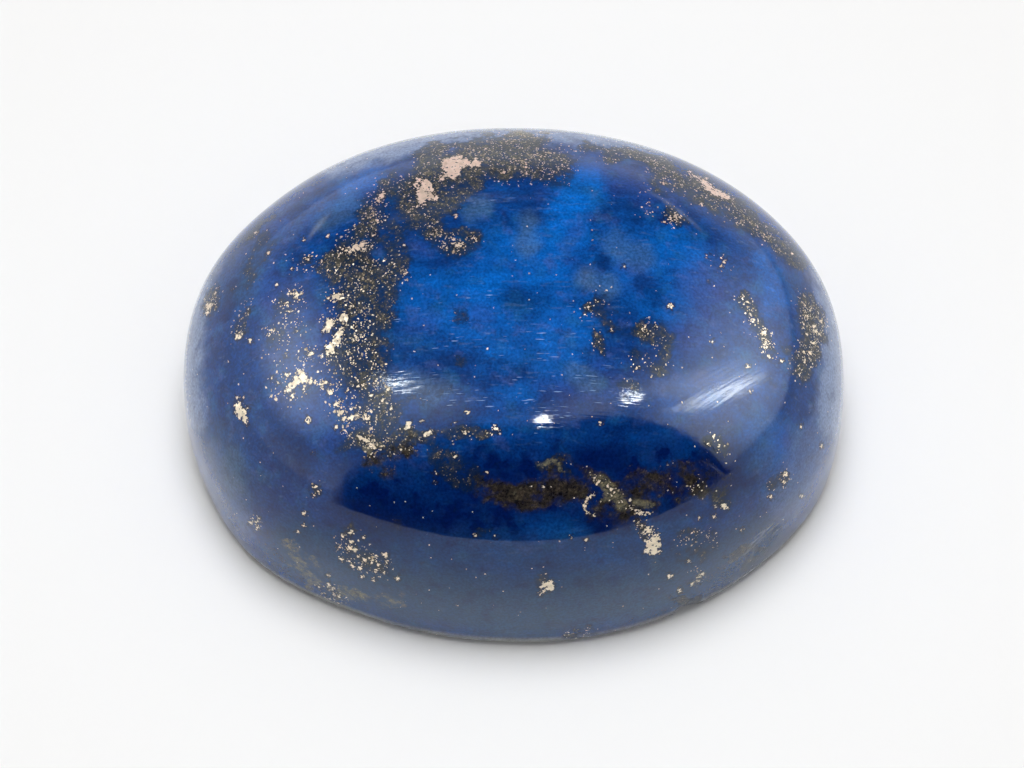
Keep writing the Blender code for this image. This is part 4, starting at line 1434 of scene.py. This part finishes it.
@dataclass
class Studio:
    """Plain soft light from overhead, and the other room that the polish mirrors.

    Gloss rays see the walls, the panels and an unlit opening towards the camera. All
    other rays see the lighting, and the camera itself sees a plain backdrop.
    """

    ambient: float = 0.34
    lamp: float = 9.6
    overhead: float = 85.0
    # How far from its middle the overhead lamp starts and is full, in degrees
    lamp_edge: tuple[float, float] = (22.0, 3.0)
    backdrop: float = 0.955
    # Glow of the mirrored walls: the elevations it changes between, and its start and end
    wall_beside: tuple[float, float, float, float] = (2.0, 46.0, 1.4, 0.06)
    wall_behind: tuple[float, float, float, float] = (0.0, 26.0, 1.5, 0.06)
    wall_turn: tuple[float, float] = (110.0, 150.0)
    ceiling: tuple[float, float, float, float] = (88.0, 76.0, 0.0, 0.25)
    ceiling_turn: tuple[float, float] = (110.0, 60.0)
    unlit: float = 0.003
    opening: SoftPanel = SoftPanel(9.5, 10.0, (48.0, 56.0), 0.03, 0.0, 0.0, 1)
    panels: tuple[SoftPanel, ...] = (
        # Soft boxes to the left and right, with their haze
        SoftPanel(-93.0, 36.0, (26.0, 13.0), 0.9, 4.5),
        SoftPanel(79.5, 35.0, (13.0, 1.9), 0.95, 30.0, -44.0),
        SoftPanel(84.0, 43.0, (16.0, 7.0), 0.95, 3.0, -60.0),
        SoftPanel(88.0, 34.0, (32.0, 21.0), 0.95, 5.0),
        # Lamps, with their halos
        SoftPanel(-71.5, 68.5, (4.2, 1.6), 0.6, 60.0, 40.0),
        SoftPanel(-54.0, 70.0, (26.0, 8.5), 0.95, 1.9),
        SoftPanel(-50.0, 52.0, (18.0, 13.0), 0.95, 1.4),
        SoftPanel(13.0, 68.0, (4.2, 1.0), 0.6, 120.0),
        SoftPanel(65.0, 63.5, (3.2, 1.4), 0.6, 100.0, -45.0),
        SoftPanel(48.0, 69.0, (34.0, 7.0), 0.95, 1.6),
        # Narrow streaks behind
        SoftPanel(-170.0, 35.0, (8.0, 1.4), 0.9, 2.2),
        SoftPanel(-148.0, 18.0, (5.0, 1.2), 0.8, 2.0, 40.0),
        SoftPanel(155.0, 20.0, (6.0, 1.0), 0.8, 2.0, -30.0),
    )
    # Shadows low behind, and how deep they are
    shadows: tuple[tuple[SoftPanel, float], ...] = (
        (SoftPanel(108.0, 1.0, (52.0, 2.6), 0.6, 0.0), 0.6),
        (SoftPanel(-116.0, 1.0, (26.0, 7.0), 0.7, 0.0), 0.3),
    )

    def build(self) -> bpy.types.World:
        """Builds the world's light."""
        world = bpy.data.worlds.new("soft_studio")
        bpy.context.scene.world = world
        world.use_nodes = True
        world.cycles.sampling_method = "NONE"
        bench = Bench(world.node_tree)
        direction = bench.add("ShaderNodeTexCoord").outputs["Generated"]
        across, away, rise = bench.parts(direction)
        elevation = bench.times(bench.calc("ARCSINE", rise), math.degrees(1.0))
        nearer = bench.times(away, -1.0)
        azimuth = bench.times(bench.calc("ARCTAN2", across, nearer), math.degrees(1.0))
        mirrored = self.mirrored(bench, azimuth, elevation)
        lighting = self.lighting(bench, away, rise)
        path = bench.add("ShaderNodeLightPath")
        level = bench.choose(path.outputs["Is Glossy Ray"], lighting, mirrored)
        level = bench.choose(path.outputs["Is Camera Ray"], level, self.backdrop)
        background = bench.add("ShaderNodeBackground")
        background.inputs["Color"].default_value = (1.0, 1.0, 1.0, 1.0)
        bench.feed(background.inputs["Strength"], level)
        bench.show("ShaderNodeOutputWorld", background)
        return world

    def patch(
        self,
        bench: Bench,
        azimuth: bpy.types.NodeSocket,
        elevation: bpy.types.NodeSocket,
        panel: SoftPanel,
    ) -> bpy.types.NodeSocket:
        """Share of one soft patch of the studio, 0 to 1, by azimuth and elevation."""
        turn = math.radians(panel.tilt)
        off_azimuth = bench.calc("SUBTRACT", azimuth, panel.azimuth)
        off_azimuth = bench.calc("WRAP", off_azimuth, 180.0, -180.0)
        off_elevation = bench.calc("SUBTRACT", elevation, panel.elevation)
        powers = []
        for size, first, second in (
            (panel.reach[0], math.cos(turn), math.sin(turn)),
            (panel.reach[1], -math.sin(turn), math.cos(turn)),
        ):
            off = bench.times(off_azimuth, first / size)
            off = bench.scaled(off_elevation, second / size, off)
            power = bench.times(off, off)
            for _ in range(panel.squarings):
                power = bench.times(power, power)
            powers.append(power)
        gap = bench.calc("SQRT", bench.plus(*powers))
        for _ in range(panel.squarings):
            gap = bench.calc("SQRT", gap)
        return bench.ease(gap, 1.0 + panel.softness, 1.0 - panel.softness)

    def mirrored(
        self, bench: Bench, azimuth: bpy.types.NodeSocket, elevation: bpy.types.NodeSocket
    ) -> bpy.types.NodeSocket:
        """What the polish mirrors: pale walls, a dim ceiling, panels and the opening."""
        turn = bench.calc("ABSOLUTE", azimuth)
        beside = bench.ease(elevation, *self.wall_beside)
        behind = bench.ease(elevation, *self.wall_behind)
        level = bench.choose(bench.ease(turn, *self.wall_turn), beside, behind)
        over = bench.ease(elevation, *self.ceiling)
        over = bench.times(bench.ease(turn, *self.ceiling_turn), over)
        level = bench.calc("MAXIMUM", level, over)
        for panel in self.panels:
            share = self.patch(bench, azimuth, elevation, panel)
            level = bench.scaled(share, panel.glow, level)
        for shadow, depth in self.shadows:
            share = bench.times(self.patch(bench, azimuth, elevation, shadow), depth)
            level = bench.times(level, bench.calc("SUBTRACT", 1.0, share))
        dark = self.patch(bench, azimuth, elevation, self.opening)
        return bench.choose(dark, level, self.unlit)

    def lighting(
        self, bench: Bench, away: bpy.types.NodeSocket, rise: bpy.types.NodeSocket
    ) -> bpy.types.NodeSocket:
        """What lights the stone and the table: one broad soft lamp nearly overhead."""
        lean = math.radians(self.overhead)
        toward = bench.times(rise, math.sin(lean))
        toward = bench.scaled(away, math.cos(lean), toward)
        low, high = (math.cos(math.radians(angle)) for angle in self.lamp_edge)
        return bench.ease(toward, low, high, self.ambient, self.ambient + self.lamp)


def main() -> None:
    """Builds the stone, the table, the studio and the camera, and reports each."""
    logging.basicConfig(level=logging.INFO, format="%(name)s: %(message)s")
    bpy.context.scene.view_settings.view_transform = "Standard"
    low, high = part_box(STONE_NODE)
    viewpoint = Viewpoint()
    form = CabochonForm(STONE_LENGTH, STONE_WIDTH, high.z - low.z)
    stone = PolishedStone(form, viewpoint).build()
    log.info("stone: %d triangles", sum(len(face.vertices) - 2 for face in stone.data.polygons))
    table = PaleTable().build()
    log.info("table: %s", table.name)
    world = Studio().build()
    log.info("studio: %s", world.name)
    camera = viewpoint.add_camera()
    log.info("camera: lens %.1f mm", camera.data.lens)


if __name__ == "__main__":
    main()
